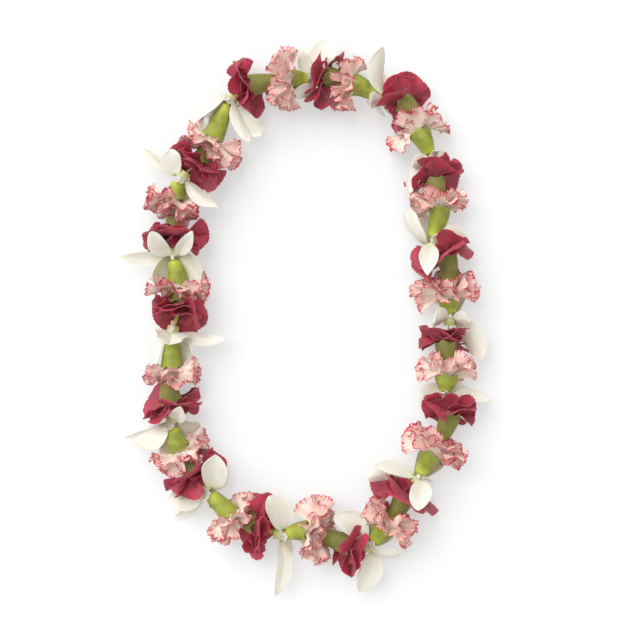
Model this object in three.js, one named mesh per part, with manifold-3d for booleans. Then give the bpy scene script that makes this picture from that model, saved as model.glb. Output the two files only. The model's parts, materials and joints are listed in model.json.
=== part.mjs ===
// A fresh flower lei laid out as a long loop on a flat surface.
// Fifteen repeats of three blooms are strung on one cotton thread: a crimson carnation, a white
// dendrobium orchid and a picotee carnation (cream, edged with crimson). All of them face the same
// way round the loop, and each carnation's foot is pushed into the heart of the bloom behind it.
// Millimetres, +Z up from the surface, +Y along the loop's length, origin under the loop's middle.
import * as THREE from "three";
import { mergeVertices } from "three/addons/utils/BufferGeometryUtils.js";
import Module from "manifold-3d";

const wasm = await Module();
wasm.setup();

// ---- Driving dimensions ----

const THREAD = { radius: 0.6, sides: 5, step: 18, height: 20, color: "#efe6cf" };
const CLEARANCE = 0.35; // free space between one piece and the next
const KNOT = { radii: [1.1, 1.8, 1.1], length: 3.4, strand: 0.65, tail: 4, lean: 24 };
const FLOOR = { level: 0.3, softness: 1.6, trim: 0.05, slab: { width: 1000, depth: 50 } };

const CALYX = {
  color: "#86924a",
  length: 26, // foot to mouth, where the bloom behind leaves that much room
  mouthRadius: 8.8,
  profile: [[0, 4], [0.5, 7]], // share of the length and radius, foot first
  wall: 1.2,
  recess: 2.9, // depth of the cup that holds the petals' claws
  recessTaper: 0.6,
  teeth: 5,
  toothLength: 2.7,
  toothFlare: 0.9,
  stub: 2.5, // radius of the stalk that reaches the bloom behind
};

// The claws of a bloom's petals are one short tube that stands in the calyx. From its rim each
// petal's midline leaves at the root tilt and bends to a tilt of its own.
const CLAWS = { depth: 2.3, footRadius: 5.6, rimRadius: 5.3, rimHeight: 3.6, halfAngle: 15 };
const PETAL = { count: 7, rootTilt: 50, bend: 7, midway: 0.42, thickness: 0.7 };

const CRIMSON = {
  color: "#9c2440",
  fanAngle: 44,
  waves: 2,
  ruffle: 3,
  roll: 0.12,
  notch: 0.05,
  edge: [-1, -0.5, 0, 0.5, 1],
  outer: { length: 22.5, tilt: 96 },
  middle: { length: 21.5, tilt: 82 },
  inner: { length: 21, tilt: 67 },
};

const PICOTEE = {
  color: "#e9b3ac",
  fanAngle: 44,
  waves: 3,
  ruffle: 3.8,
  roll: 0.12,
  notch: 0.1,
  edge: [-1, -0.5, 0, 0.5, 1],
  outer: { length: 22.5, tilt: 100 },
  middle: { length: 21.5, tilt: 79 },
  inner: { length: 21, tilt: 60 },
};

// The five tepals and the lip of an orchid grow from the rim of one short tube. A tepal's stations
// are a share of its length, a share of its half width and how many points lie across it.
const ORCHID = {
  color: "#efebdc",
  thickness: 0.9,
  tube: { depth: 4, footRadius: 4.6, rimRadius: 5.1, rimHeight: 1.5, halfAngle: 20 },
  pedicel: { length: 10, radius: 1.5, lean: 56, onOrchid: 3 }, // the only one not cut off
  faceUp: 0.75, // share of the turn about its own length that would lay a tepal's face upward
  sepal: { length: 38, halfWidth: 7, droop: 10, stations: [[0.36, 0.8, 3], [0.72, 0.92, 3], [1, 0, 1]] },
  petal: { length: 35, halfWidth: 12, droop: 14, stations: [[0.3, 0.66, 3], [0.72, 1, 3], [1, 0.5, 2]] },
  lip: { length: 14, halfWidth: 4.6, droop: 40, tilt: 30, stations: [[0.5, 1, 3], [1, 0, 1]] },
};

// ---- Where the blooms sit ----
// One row for each bloom, in the order in which the thread meets them: x and y of the calyx mouth,
// the way that the face looks in the plan (degrees from +X) and how far it tips up from the surface.

const CRIMSON_PLACES = [
  [-41, 186, 193, 0],
  [-82, 126, 232, 12],
  [-103, 70, 270, -5],
  [-99, 10, 256, 25],
  [-107, -65, 284, -22],
  [-90, -122, 300, -5],
  [-41, -165, 337, 5],
  [34, -182, 342, -10],
  [80, -146, 66, -18],
  [117, -80, 78, -8],
  [114, -23, 90, -12],
  [114, 48, 120, 5],
  [105, 107, 105, -20],
  [82, 170, 134, -30],
  [21, 192, 168, -20],
];

const PICOTEE_PLACES = [
  [-72, 146, 240, -15],
  [-104, 96, 249, 12],
  [-101, 30, 272, -10],
  [-106, -38, 270, -8],
  [-101, -103, 295, -20],
  [-60, -158, 307, 0],
  [2, -172, 354, 15],
  [64, -170, 53, 5],
  [102, -111, 60, 0],
  [115, -50, 87, -15],
  [116, 13, 101, 10],
  [109, 85, 92, -10],
  [94, 146, 117, -20],
  [42, 186, 168, -5],
  [-7, 190, 180, 5],
];

// x and y of the orchid's heart, then how each tepal lies: its angle round the thread (0 is up,
// 90 is to the left of the way that the blooms face) and its angle from the thread (0 is forward).
// The tepals come in the order dorsal sepal, petal, lateral sepal, lateral sepal, petal.
const ORCHID_PLACES = [
  [-57, 176, [[55, 42], [95, 56], [180, 50], [-150, 55], [-75, 36]]],
  [-97, 113, [[-95, 81], [-70, 104], [75, 90], [170, 75], [130, 68]]],
  [-105, 51, [[-90, 82, 1.15], [-32, 112], [42, 112], [85, 38], [-105, 42]]],
  [-105, -11, [[88, 88], [130, 75], [180, 55], [-140, 60], [-85, 34]]],
  [-106, -83, [[29, 109], [112, 60], [-150, 80], [-108, 63], [-60, 43]]],
  [-79, -138, [[120, 78], [42, 110], [175, 85], [-120, 82], [-105, 105]]],
  [-20, -174, [[95, 98, 1.2], [50, 100], [170, 80], [-130, 60], [-92, 69]]],
  [51, -184, [[120, 58], [75, 100], [-60, 38], [170, 85], [-80, 112]]],
  [90, -131, [[55, 110], [100, 112], [-150, 80], [170, 60], [-22, 112]]],
  [114, -66, [[125, 90], [130, 60], [-100, 100], [180, 90], [-125, 55]]],
  [117, -3, [[-95, 108], [25, 100], [150, 85], [-150, 80], [-60, 112]]],
  [104, 58, [[18, 112], [80, 38], [180, 60], [-140, 80], [-50, 84]]],
  [103, 125, [[120, 85], [55, 93], [-120, 85], [180, 80], [-160, 80]]],
  [63, 175, [[20, 60], [-75, 54], [170, 100], [-120, 75], [120, 110]]],
  [10, 190, [[-110, 65], [-70, 112], [60, 40], [180, 80], [120, 75]]],
];

const REPEATS = CRIMSON_PLACES.length;
const BLOOMS = 3 * REPEATS;
const KINDS = ["crimson", "orchid", "picotee"];
const CALYCES_PER_RUN = 3;
const radians = THREE.MathUtils.degToRad;

// ---- The thread's route ----

const bloomPoint = (order) => {
  const places = [CRIMSON_PLACES, ORCHID_PLACES, PICOTEE_PLACES][order % 3];
  const [x, y] = places[Math.floor(order / 3)];
  return new THREE.Vector3(x, y, THREAD.height);
};

const route = new THREE.CatmullRomCurve3(
  Array.from({ length: BLOOMS }, (_, order) => bloomPoint(order)),
  true,
  "centripetal",
);
route.arcLengthDivisions = 80 * BLOOMS;
const routeLength = route.getLength();
const routeLengths = route.getLengths();

// Distance along the thread to a bloom; it goes on past the end of the loop and before its start.
function distanceTo(order) {
  const turns = Math.floor(order / BLOOMS);
  return turns * routeLength + routeLengths[80 * (order - turns * BLOOMS)];
}

function frameAt(position, ahead) {
  const left = new THREE.Vector3(-ahead.y, ahead.x, 0).normalize();
  return new THREE.Matrix4().makeBasis(left, ahead.clone().cross(left), ahead).setPosition(position);
}

// The frame of the thread at a distance: X is to its left, Y up and Z along it.
function routeFrame(distance) {
  const share = THREE.MathUtils.euclideanModulo(distance / routeLength, 1);
  return frameAt(route.getPointAt(share), route.getTangentAt(share));
}

// ---- Solids ----

function toSolid(geometry) {
  const bare = geometry.clone();
  bare.deleteAttribute("normal");
  bare.deleteAttribute("uv");
  const merged = mergeVertices(bare, 1e-4);
  return new wasm.Manifold(
    new wasm.Mesh({
      numProp: 3,
      vertProperties: merged.attributes.position.array,
      triVerts: new Uint32Array(merged.index.array),
    }),
  );
}

function toGeometry(solid) {
  const mesh = solid.getMesh();
  return new THREE.BufferGeometry()
    .setAttribute("position", new THREE.BufferAttribute(mesh.vertProperties, 3))
    .setIndex(new THREE.BufferAttribute(mesh.triVerts, 1));
}

const join = (solids) => solids.reduce((sum, solid) => sum.add(solid));

// The largest body of a solid: scraps that a cut leaves loose are dropped.
function largestBody(solid) {
  return solid.decompose().reduce((best, body) => (body.volume() > best.volume() ? body : best));
}

// The same draws in the same order for the same seed.
function seededDraws(seed) {
  let state = seed >>> 0;
  const next = () => {
    state = (Math.imul(state, 1664525) + 1013904223) >>> 0;
    return state / 2 ** 32;
  };
  for (let i = 0; i < 4; i += 1) next();
  return (low, high) => low + (high - low) * next();
}

// What lies lower than the surface is bent up to lie along it.
function settle(point) {
  const { level, softness } = FLOOR;
  point.z = level + softness * Math.log1p(Math.exp((point.z - level) / softness));
  return point;
}

// A ring of points round a frame. A crown raises and spreads every second one.
function ring(frame, height, radius, sides, crown = { rise: 0, flare: 0 }) {
  return Array.from({ length: sides }, (_, i) => {
    const angle = (2 * Math.PI * i) / sides;
    const out = radius + (i % 2 ? 0 : crown.flare);
    const up = height + (i % 2 ? 0 : crown.rise);
    return new THREE.Vector3(out * Math.cos(angle), out * Math.sin(angle), up).applyMatrix4(frame);
  });
}

// A closed solid through rings of equal counts, from its back to its front.
function loftSolid(rings) {
  const sides = rings[0].length;
  const indices = [];
  for (let i = 1; i + 1 < sides; i += 1) indices.push(0, i + 1, i);
  for (let r = 0; r + 1 < rings.length; r += 1) {
    for (let i = 0; i < sides; i += 1) {
      const [a, b] = [r * sides + i, r * sides + ((i + 1) % sides)];
      indices.push(a, b, b + sides, a, b + sides, a + sides);
    }
  }
  const last = (rings.length - 1) * sides;
  for (let i = 1; i + 1 < sides; i += 1) indices.push(last, last + i, last + i + 1);
  return toSolid(new THREE.BufferGeometry().setFromPoints(rings.flat()).setIndex(indices));
}

// A round rod that follows the thread from one distance to another.
function rodSolid(from, to, radius, sides = 5) {
  const steps = Math.max(1, Math.round((to - from) / 16));
  return loftSolid(
    Array.from({ length: steps + 1 }, (_, i) =>
      ring(routeFrame(from + ((to - from) * i) / steps), 0, radius, sides),
    ),
  );
}

// Triangles between two rows of points with their own counts, which start at two given indices.
function zipRows(first, firstCount, second, secondCount) {
  const triangles = [];
  let [i, j] = [0, 0];
  while (i < firstCount - 1 || j < secondCount - 1) {
    const firstNext = (i + 1) / Math.max(firstCount - 1, 1);
    const secondNext = (j + 1) / Math.max(secondCount - 1, 1);
    if (j < secondCount - 1 && (i >= firstCount - 1 || secondNext <= firstNext)) {
      triangles.push([first + i, second + j + 1, second + j]);
      j += 1;
    } else {
      triangles.push([first + i, first + i + 1, second + j]);
      i += 1;
    }
  }
  return triangles;
}

// A closed solid of one thickness round a middle surface, which is given as points and triangles.
function sheetSolid(points, faces, thickness) {
  const normals = points.map(() => new THREE.Vector3());
  for (const [a, b, c] of faces) {
    const side = points[b].clone().sub(points[a]).cross(points[c].clone().sub(points[a]));
    for (const corner of [a, b, c]) normals[corner].add(side);
  }
  const shifted = (sign) =>
    points.map((p, i) => p.clone().addScaledVector(normals[i].clone().normalize(), (sign * thickness) / 2));
  const n = points.length;
  const indices = faces.flatMap(([a, b, c]) => [a, b, c, a + n, c + n, b + n]);
  const edges = new Set(faces.flatMap(([a, b, c]) => [`${a},${b}`, `${b},${c}`, `${c},${a}`]));
  for (const edge of edges) {
    const [a, b] = edge.split(",").map(Number);
    if (!edges.has(`${b},${a}`)) indices.push(b, a, a + n, b, a + n, b + n);
  }
  const corners = [...shifted(1), ...shifted(-1)];
  return toSolid(new THREE.BufferGeometry().setFromPoints(corners).setIndex(indices));
}

// A thin closed blade through rows of points that run across it, from its root to its tip.
function bladeSolid(rows, thickness) {
  const faces = [];
  let start = 0;
  for (let r = 0; r + 1 < rows.length; r += 1) {
    faces.push(...zipRows(start, rows[r].length, start + rows[r].length, rows[r + 1].length));
    start += rows[r].length;
  }
  return sheetSolid(rows.flat(), faces, thickness);
}

// The tilt at which a blade that points down only just reaches the surface.
function tiltOnFloor(tilt, azimuth, reach, frame) {
  const outward = new THREE.Vector3(Math.sin(radians(azimuth)), Math.cos(radians(azimuth)), 0);
  const drop = reach * Math.max(-outward.transformDirection(frame).z, 0);
  const room = THREAD.height - FLOOR.level;
  if (drop * Math.sin(radians(tilt)) <= room) return tilt;
  const limit = THREE.MathUtils.radToDeg(Math.asin(room / drop));
  return tilt > 90 ? 180 - limit : limit;
}

// ---- Calyces ----

const isCarnation = (order) => THREE.MathUtils.euclideanModulo(order, 3) !== 1;

// The frame of a carnation's mouth: X is its left, Y its upper side and Z the way that it looks.
function faceFrame(order) {
  const places = order % 3 === 0 ? CRIMSON_PLACES : PICOTEE_PLACES;
  const [, , heading, lean] = places[Math.floor(order / 3)];
  const ahead = new THREE.Vector3().setFromSphericalCoords(1, radians(90 - lean), radians(90 + heading));
  return frameAt(bloomPoint(order), new THREE.Vector3(ahead.x, -ahead.z, ahead.y));
}

function footDistance(order) {
  const at = distanceTo(order);
  return at - Math.min(CALYX.length, at - distanceTo(order - 1) - CLAWS.rimHeight - 2.4);
}

// The green cup from its cut foot to its five-toothed mouth. It bends from the thread's way to the
// way that its bloom looks, and its recess holds the claws of the petals.
function calyxSolid(order, grow) {
  const { profile, mouthRadius, wall, recess, recessTaper, teeth, toothLength, toothFlare } = CALYX;
  const mouth = faceFrame(order);
  const foot = routeFrame(footDistance(order) - grow);
  const [start, end] = [foot, mouth].map((frame) => new THREE.Vector3().setFromMatrixPosition(frame));
  const third = start.distanceTo(end) / 3;
  const axis = new THREE.CubicBezierCurve3(
    start,
    new THREE.Vector3(0, 0, third).applyMatrix4(foot),
    new THREE.Vector3(0, 0, -third).applyMatrix4(mouth),
    end,
  );
  const sides = 2 * teeth;
  const crown = { rise: toothLength + grow, flare: toothFlare };
  const inner = mouthRadius - wall - grow;
  return loftSolid([
    ...profile.map(([share, radius]) =>
      ring(frameAt(axis.getPoint(share), axis.getTangent(share)), 0, radius + grow, sides),
    ),
    ring(mouth, 0, mouthRadius + grow, sides, crown),
    ring(mouth, 0, inner, sides, crown),
    ring(mouth, grow - recess, inner - recessTaper, sides),
  ]);
}

// The stalk between a calyx's foot and the bloom behind it, or the cup behind that in its own run.
function stalkSolid(order, isFirstOfRun, grow) {
  const foot = footDistance(order);
  const behind = isCarnation(order - 1) ? order - 1 : order - 2;
  const from = isFirstOfRun ? distanceTo(order - 1) + 1 : distanceTo(behind) - CALYX.recess - 1;
  return rodSolid(from - grow, foot + 1, CALYX.stub + grow);
}

// Three neighbouring calyces that hold each other's feet.
function calyxRun(run, grow = 0) {
  const solids = [];
  for (let i = 0; i < CALYCES_PER_RUN; i += 1) {
    const carnationNumber = run * CALYCES_PER_RUN + i;
    const order = 3 * Math.floor(carnationNumber / 2) + (carnationNumber % 2 ? 2 : 0);
    solids.push(calyxSolid(order, grow));
    if (i > 0 || !isCarnation(order - 1)) solids.push(stalkSolid(order, i === 0, grow));
  }
  return join(solids);
}

// ---- Carnation petals ----

// Distance from the axis and height over the mouth, by distance along a petal's midline.
function petalMidline(distance, petal) {
  const steps = 16;
  const midline = { radius: CLAWS.rimRadius, height: CLAWS.rimHeight, angle: 0 };
  for (let i = 0; i < steps; i += 1) {
    const bent = THREE.MathUtils.smoothstep(((i + 0.5) * distance) / steps, 0, PETAL.bend);
    midline.angle = radians(PETAL.rootTilt + (petal.tilt - PETAL.rootTilt) * bent);
    midline.radius += (Math.sin(midline.angle) * distance) / steps;
    midline.height += (Math.cos(midline.angle) * distance) / steps;
  }
  return midline;
}

// A point of a petal's middle surface, at a share of the way along it and across it (-1 to 1).
function petalPoint(along, across, petal) {
  const spread = radians(petal.fanAngle) * across;
  const rootWidth = CLAWS.rimRadius * Math.sin(radians(CLAWS.halfAngle));
  const sideways = across * rootWidth + along * petal.length * Math.sin(spread);
  const wave = Math.cos(petal.waves * Math.PI * across + petal.phase);
  const lift = petal.ruffle * along ** 2 * wave + petal.roll * along * sideways;
  const { radius, height, angle } = petalMidline(along * petal.length * Math.cos(spread), petal);
  const outward = radius - lift * Math.cos(angle);
  const azimuth = radians(petal.azimuth);
  return new THREE.Vector3(
    outward * Math.sin(azimuth) + sideways * Math.cos(azimuth),
    outward * Math.cos(azimuth) - sideways * Math.sin(azimuth),
    height + lift * Math.sin(angle),
  );
}

// The petals of one carnation, drawn from its seed: outer and inner ones take turns round the
// rim, and the last one lies between the two whorls.
function carnationPetals(kind, seed) {
  const draw = seededDraws(seed);
  const turn = draw(0, 360);
  return Array.from({ length: PETAL.count }, (_, i) => {
    const whorl = i === PETAL.count - 1 ? kind.middle : [kind.outer, kind.inner][i % 2];
    return {
      azimuth: turn + (i * 360) / PETAL.count + draw(-4, 4),
      length: whorl.length * draw(0.93, 1.05),
      fanAngle: kind.fanAngle * draw(0.9, 1),
      phase: draw(-0.6, 0.6) + i * Math.PI,
      ruffle: kind.ruffle * draw(0.8, 1.2),
      tilt: whorl.tilt + draw(-8, 8),
      waves: kind.waves,
      roll: kind.roll,
    };
  });
}

function petalRows(kind, petal, frame) {
  const reach = petal.length + CLAWS.rimRadius;
  const shape = { ...petal, tilt: tiltOnFloor(petal.tilt, petal.azimuth, reach, frame) };
  const onPetal = (along, across) => settle(petalPoint(along, across, shape).applyMatrix4(frame));
  return [
    [-1, 1].map((across) => onPetal(0, across)),
    [-1, 1].map((across) => onPetal(PETAL.midway, across)),
    kind.edge.map((across, i) => onPetal(i % 2 ? 1 : 1 - kind.notch, across)),
  ];
}

const petalSolid = (kind, petal, frame, grow = 0) =>
  bladeSolid(petalRows(kind, petal, frame), PETAL.thickness + 2 * grow);

// Blades that grow from the rim of one tube, as one sheet. Each blade is its rows of points, of
// which the first has two and lies on the rim.
function tubeWithBlades(blades, footDepth, footRadius, frame, thickness) {
  const points = [];
  const faces = [];
  const rim = [];
  for (const rows of blades) {
    rim.push(points.length, points.length + 1);
    rows.forEach((row, r) => {
      const start = points.length;
      points.push(...row);
      const next = rows[r + 1];
      if (next) faces.push(...zipRows(start, row.length, start + row.length, next.length));
    });
  }
  const foot = points.length;
  const toFrame = frame.clone().invert();
  for (const index of rim) {
    const inFrame = points[index].clone().applyMatrix4(toFrame);
    const narrow = footRadius / Math.hypot(inFrame.x, inFrame.y);
    points.push(inFrame.multiplyScalar(narrow).setZ(-footDepth).applyMatrix4(frame));
  }
  rim.forEach((index, i) => {
    const after = (i + 1) % rim.length;
    faces.push([foot + i, foot + after, index], [foot + after, rim[after], index]);
  });
  return sheetSolid(points, faces, thickness);
}

function corollaSolid(kind, petals, frame, grow = 0) {
  const blades = petals.map((petal) => petalRows(kind, petal, frame));
  return tubeWithBlades(blades, CLAWS.depth, CLAWS.footRadius, frame, PETAL.thickness + 2 * grow);
}

// ---- Orchids ----

// The tepals in their order round the rim, with the lip in the widest gap between two of them and
// the azimuth of each one's own root.
function orchidBlades(tepals, room, hasPedicel) {
  const { sepal, petal, lip } = ORCHID;
  const shapes = [sepal, petal, sepal, sepal, petal];
  const blades = tepals.map(([azimuth, tilt, share = 1], i) => {
    const stop = tilt < 60 ? room / Math.cos(radians(tilt)) : Infinity;
    return { ...shapes[i], azimuth, tilt, length: Math.min(shapes[i].length * share, stop) };
  });
  for (const blade of blades) blade.azimuth = THREE.MathUtils.euclideanModulo(blade.azimuth, 360);
  blades.sort((a, b) => a.azimuth - b.azimuth);
  const last = blades.at(-1).azimuth - 360;
  const gaps = blades.map(({ azimuth }, i) => azimuth - (i ? blades[i - 1].azimuth : last));
  const widest = gaps.indexOf(Math.max(...gaps));
  blades.splice(widest, 0, { ...lip, azimuth: blades[widest].azimuth - gaps[widest] / 2 });
  const spacing = 360 / blades.length;
  const offset = blades.reduce((sum, blade, i) => sum + blade.azimuth - i * spacing, 0) / blades.length;
  return blades.map((blade, i) => ({ ...blade, hasPedicel, rootAzimuth: offset + i * spacing }));
}

// The turn about its own length that lays a blade's face upward.
function turnUpward(turn, angle) {
  const facing = -Math.cos(angle) * Math.cos(turn);
  return Math.atan2(Math.sin(turn) * (Math.sign(facing) || 1), Math.abs(facing));
}

// Rows of a tepal, which is narrow at its root, widest past its middle and blunt at its tip.
function tepalRows(blade, frame) {
  const { rimRadius, rimHeight, halfAngle } = ORCHID.tube;
  const root = [-1, 1].map((across) => {
    const azimuth = radians(blade.rootAzimuth + across * halfAngle);
    return new THREE.Vector3(rimRadius * Math.sin(azimuth), rimRadius * Math.cos(azimuth), rimHeight);
  });
  const turn = radians(blade.azimuth);
  const level = tiltOnFloor(blade.tilt, blade.azimuth, blade.length + 3, frame);
  const rows = blade.stations.map(([along, width, count]) => {
    const angle = radians(level + blade.droop * (along - 0.3));
    const reach = blade.length * along;
    const twist = ORCHID.faceUp * turnUpward(turn, angle);
    return [[0], [-1, 1], [-1, 0, 1]][count - 1].map((across) => {
      const wide = across * width * blade.halfWidth;
      const hollow = Math.abs(wide) / 5;
      const sideways = wide * Math.cos(twist) - hollow * Math.sin(twist);
      const inward = wide * Math.sin(twist) + hollow * Math.cos(twist);
      const outward = 3 + reach * Math.sin(angle) - inward * Math.cos(angle);
      const ahead = 1 + reach * Math.cos(angle) + inward * Math.sin(angle);
      return new THREE.Vector3(
        outward * Math.sin(turn) + sideways * Math.cos(turn),
        outward * Math.cos(turn) - sideways * Math.sin(turn),
        ahead,
      );
    });
  });
  return [root, ...rows].map((row) => row.map((point) => settle(point.applyMatrix4(frame))));
}

const tepalSolid = (blade, frame, grow = 0) =>
  bladeSolid(tepalRows(blade, frame), ORCHID.thickness + 2 * grow);

function orchidSolid(blades, frame, grow = 0) {
  const { depth, footRadius } = ORCHID.tube;
  const rows = blades.map((blade) => tepalRows(blade, frame));
  const flower = tubeWithBlades(rows, depth, footRadius, frame, ORCHID.thickness + 2 * grow);
  const { length, radius, lean } = ORCHID.pedicel;
  if (!blades[0].hasPedicel) return flower;
  const stalk = frame
    .clone()
    .multiply(new THREE.Matrix4().makeTranslation(0, footRadius + 0.6, -1.5))
    .multiply(new THREE.Matrix4().makeRotationX(radians(180 + lean)));
  const rings = [ring(stalk, 0, radius + 0.6 + grow, 5), ring(stalk, length + grow, radius + grow, 5)];
  return join([flower, loftSolid(rings)]);
}

// ---- Thread ----

const threadTube = (radius) =>
  toSolid(new THREE.TubeGeometry(route, Math.round(routeLength / THREAD.step), radius, THREAD.sides, true));

// The knot and its two cut tails, between the last bloom and the first.
function knotSolid() {
  const frame = routeFrame(distanceTo(BLOOMS - 1));
  const rings = KNOT.radii.map((radius, i) => ring(frame, (i / 2 - 0.5) * KNOT.length, radius, 6));
  const tails = [1, -1].map((side) => {
    const turned = frame.clone().multiply(new THREE.Matrix4().makeRotationY(radians(side * KNOT.lean)));
    return loftSolid([ring(turned, 0, KNOT.strand, 4), ring(turned, KNOT.tail, KNOT.strand, 4)]);
  });
  return join([loftSolid(rings), ...tails]);
}

// ---- The whole lei ----

const lei = new THREE.Group();
lei.name = "fresh_flower_lei";

const number = (i) => String(i + 1).padStart(2, "0");
const pieces = [];
const addPiece = (name, solid, color, roughness) => pieces.push({ name, solid, color, roughness });

const hole = threadTube((THREAD.radius + CLEARANCE) / Math.cos(Math.PI / THREAD.sides));
const runs = Array.from({ length: (2 * REPEATS) / CALYCES_PER_RUN }, (_, run) => run);
const grownRuns = runs.map((run) => calyxRun(run, CLEARANCE));
const { trim, slab } = FLOOR;
const floorBox = toSolid(
  new THREE.BoxGeometry(slab.width, slab.width, slab.depth).translate(0, 0, trim - slab.depth / 2),
);

for (const run of runs) {
  addPiece(`calyx_run_${number(run)}`, largestBody(calyxRun(run).subtract(hole)), CALYX.color, 0.6);
}

const placed = new Map(); // each bloom's solid grown by the clearance, by its order

// Everything that a bloom has to stay clear of, from its neighbours along the thread.
function obstaclesOf(order) {
  const solids = [];
  for (let away = -5; away <= 5; away += 1) {
    const other = THREE.MathUtils.euclideanModulo(order + away, BLOOMS);
    if (placed.has(other)) solids.push(placed.get(other));
  }
  const carnation = Math.floor((2 * order) / 3);
  const nearRuns = new Set(
    [-3, 0, 3].map((away) =>
      Math.floor(THREE.MathUtils.euclideanModulo(carnation + away, 2 * REPEATS) / CALYCES_PER_RUN),
    ),
  );
  return join([hole, ...[...nearRuns].map((run) => grownRuns[run]), ...solids]);
}

function addBloom(order, solid, grown, { color, roughness }) {
  placed.set(order, grown);
  const name = order % 3 === 1 ? "orchid" : `${KINDS[order % 3]}_petals`;
  addPiece(`${name}_${number(Math.floor(order / 3))}`, solid, color, roughness);
}

// A blade keeps the first of these lengths and extra tilts at which it crosses nothing.
const LENGTH_SHARES = [1, 0.88, 0.76, 0.64, 0.5, 0.35];
const EXTRA_TILTS = [0, 6, -6, 12, -12, 20, -20, 28, -28, 36, 46];

function bentClear(blade, toBlade, obstacles) {
  let best = { crossing: Infinity };
  for (const share of LENGTH_SHARES) {
    for (const extraTilt of EXTRA_TILTS) {
      const bent = { ...blade, length: blade.length * share, tilt: blade.tilt + extraTilt };
      const crossing = toBlade(bent).intersect(obstacles).volume();
      if (crossing < best.crossing) best = { crossing, bent };
      if (crossing < 1e-3) return bent;
    }
  }
  return best.bent;
}

function addBlooms(kindNumber, frameOf, bladesOf, toBlade, toWhole, look) {
  for (let i = 0; i < REPEATS; i += 1) {
    const order = 3 * i + kindNumber;
    const frame = frameOf(order);
    const obstacles = obstaclesOf(order);
    const blades = [];
    const grown = [];
    for (const blade of bladesOf(i)) {
      const clear = bentClear(blade, (bent) => toBlade(bent, frame), join([obstacles, ...grown]));
      blades.push(clear);
      grown.push(toBlade(clear, frame, 0.1));
    }
    const whole = toWhole(blades, frame);
    const crosses = whole.intersect(obstacles).volume() > 1e-4;
    const solid = crosses ? largestBody(whole.subtract(obstacles)) : whole;
    addBloom(order, solid, toWhole(blades, frame, CLEARANCE), look);
  }
}

const roomAhead = (i) => distanceTo(3 * i + 2) - distanceTo(3 * i + 1) + 2;

addBlooms(
  1,
  (order) => routeFrame(distanceTo(order)),
  (i) => orchidBlades(ORCHID_PLACES[i][2], roomAhead(i), i === ORCHID.pedicel.onOrchid),
  tepalSolid,
  orchidSolid,
  { color: ORCHID.color, roughness: 0.45 },
);
for (const [kindNumber, kind] of [[0, CRIMSON], [2, PICOTEE]]) {
  addBlooms(
    kindNumber,
    faceFrame,
    (i) => carnationPetals(kind, 100 * kindNumber + i),
    (petal, frame, grow) => petalSolid(kind, petal, frame, grow),
    (petals, frame, grow) => corollaSolid(kind, petals, frame, grow),
    { color: kind.color, roughness: 0.7 },
  );
}

addPiece("thread", join([threadTube(THREAD.radius), knotSolid()]), THREAD.color, 0.8);

const box = new THREE.Box3();
for (const piece of pieces) {
  const { min } = piece.solid.boundingBox();
  const solid = min[2] < trim ? largestBody(piece.solid.subtract(floorBox)) : piece.solid;
  piece.geometry = toGeometry(solid);
  piece.geometry.computeBoundingBox();
  box.union(piece.geometry.boundingBox);
}
const middle = box.getCenter(new THREE.Vector3());
for (const { name, geometry, color, roughness } of pieces) {
  geometry.translate(-middle.x, -middle.y, -box.min.z);
  const mesh = new THREE.Mesh(geometry, new THREE.MeshStandardMaterial({ color, roughness, metalness: 0 }));
  mesh.name = name;
  lei.add(mesh);
}

export default lei;
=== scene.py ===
"""A fresh flower lei of carnations and dendrobium orchids, laid out as a long loop on a pale floor.

Fifteen repeats of three blooms are strung on one cotton thread: a crimson carnation, a white orchid
and a picotee carnation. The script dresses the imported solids: each bloom gets its petals from one
rule, each run of green calyces its teeth, ribs and bracts, and the thread its twisted plies.
Lengths are millimetres in the classes below and metres in Blender.
"""

from __future__ import annotations

import json
import logging
import math
from dataclasses import dataclass, field, replace
from enum import Enum
from typing import Any, Callable, Iterable, Sequence

import bpy
import numpy as np
from mathutils import Matrix, Vector
from mathutils.bvhtree import BVHTree

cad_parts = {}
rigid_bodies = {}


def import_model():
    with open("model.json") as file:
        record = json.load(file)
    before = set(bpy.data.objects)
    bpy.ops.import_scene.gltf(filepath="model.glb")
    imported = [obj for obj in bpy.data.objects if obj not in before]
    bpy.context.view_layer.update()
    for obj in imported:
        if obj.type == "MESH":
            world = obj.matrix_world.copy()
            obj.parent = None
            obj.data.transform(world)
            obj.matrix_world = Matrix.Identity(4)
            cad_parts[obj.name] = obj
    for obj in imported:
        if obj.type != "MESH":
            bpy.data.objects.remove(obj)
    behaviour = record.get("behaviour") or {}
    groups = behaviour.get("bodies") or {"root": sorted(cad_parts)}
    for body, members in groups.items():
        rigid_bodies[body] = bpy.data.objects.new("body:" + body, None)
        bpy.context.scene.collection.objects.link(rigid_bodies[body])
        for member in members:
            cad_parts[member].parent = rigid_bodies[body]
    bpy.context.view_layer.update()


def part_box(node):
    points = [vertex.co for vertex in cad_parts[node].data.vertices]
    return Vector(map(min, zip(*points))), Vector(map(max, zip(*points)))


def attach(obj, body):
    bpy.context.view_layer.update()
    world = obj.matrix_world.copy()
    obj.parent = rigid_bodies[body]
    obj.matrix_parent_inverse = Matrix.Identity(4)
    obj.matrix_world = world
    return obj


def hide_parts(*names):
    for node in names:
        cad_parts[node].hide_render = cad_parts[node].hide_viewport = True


LOG = logging.getLogger("lei")
MILLIMETRE = 0.001
Colour = tuple[float, float, float]
Points = np.ndarray


# ---- Small node toolkit ----


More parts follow.
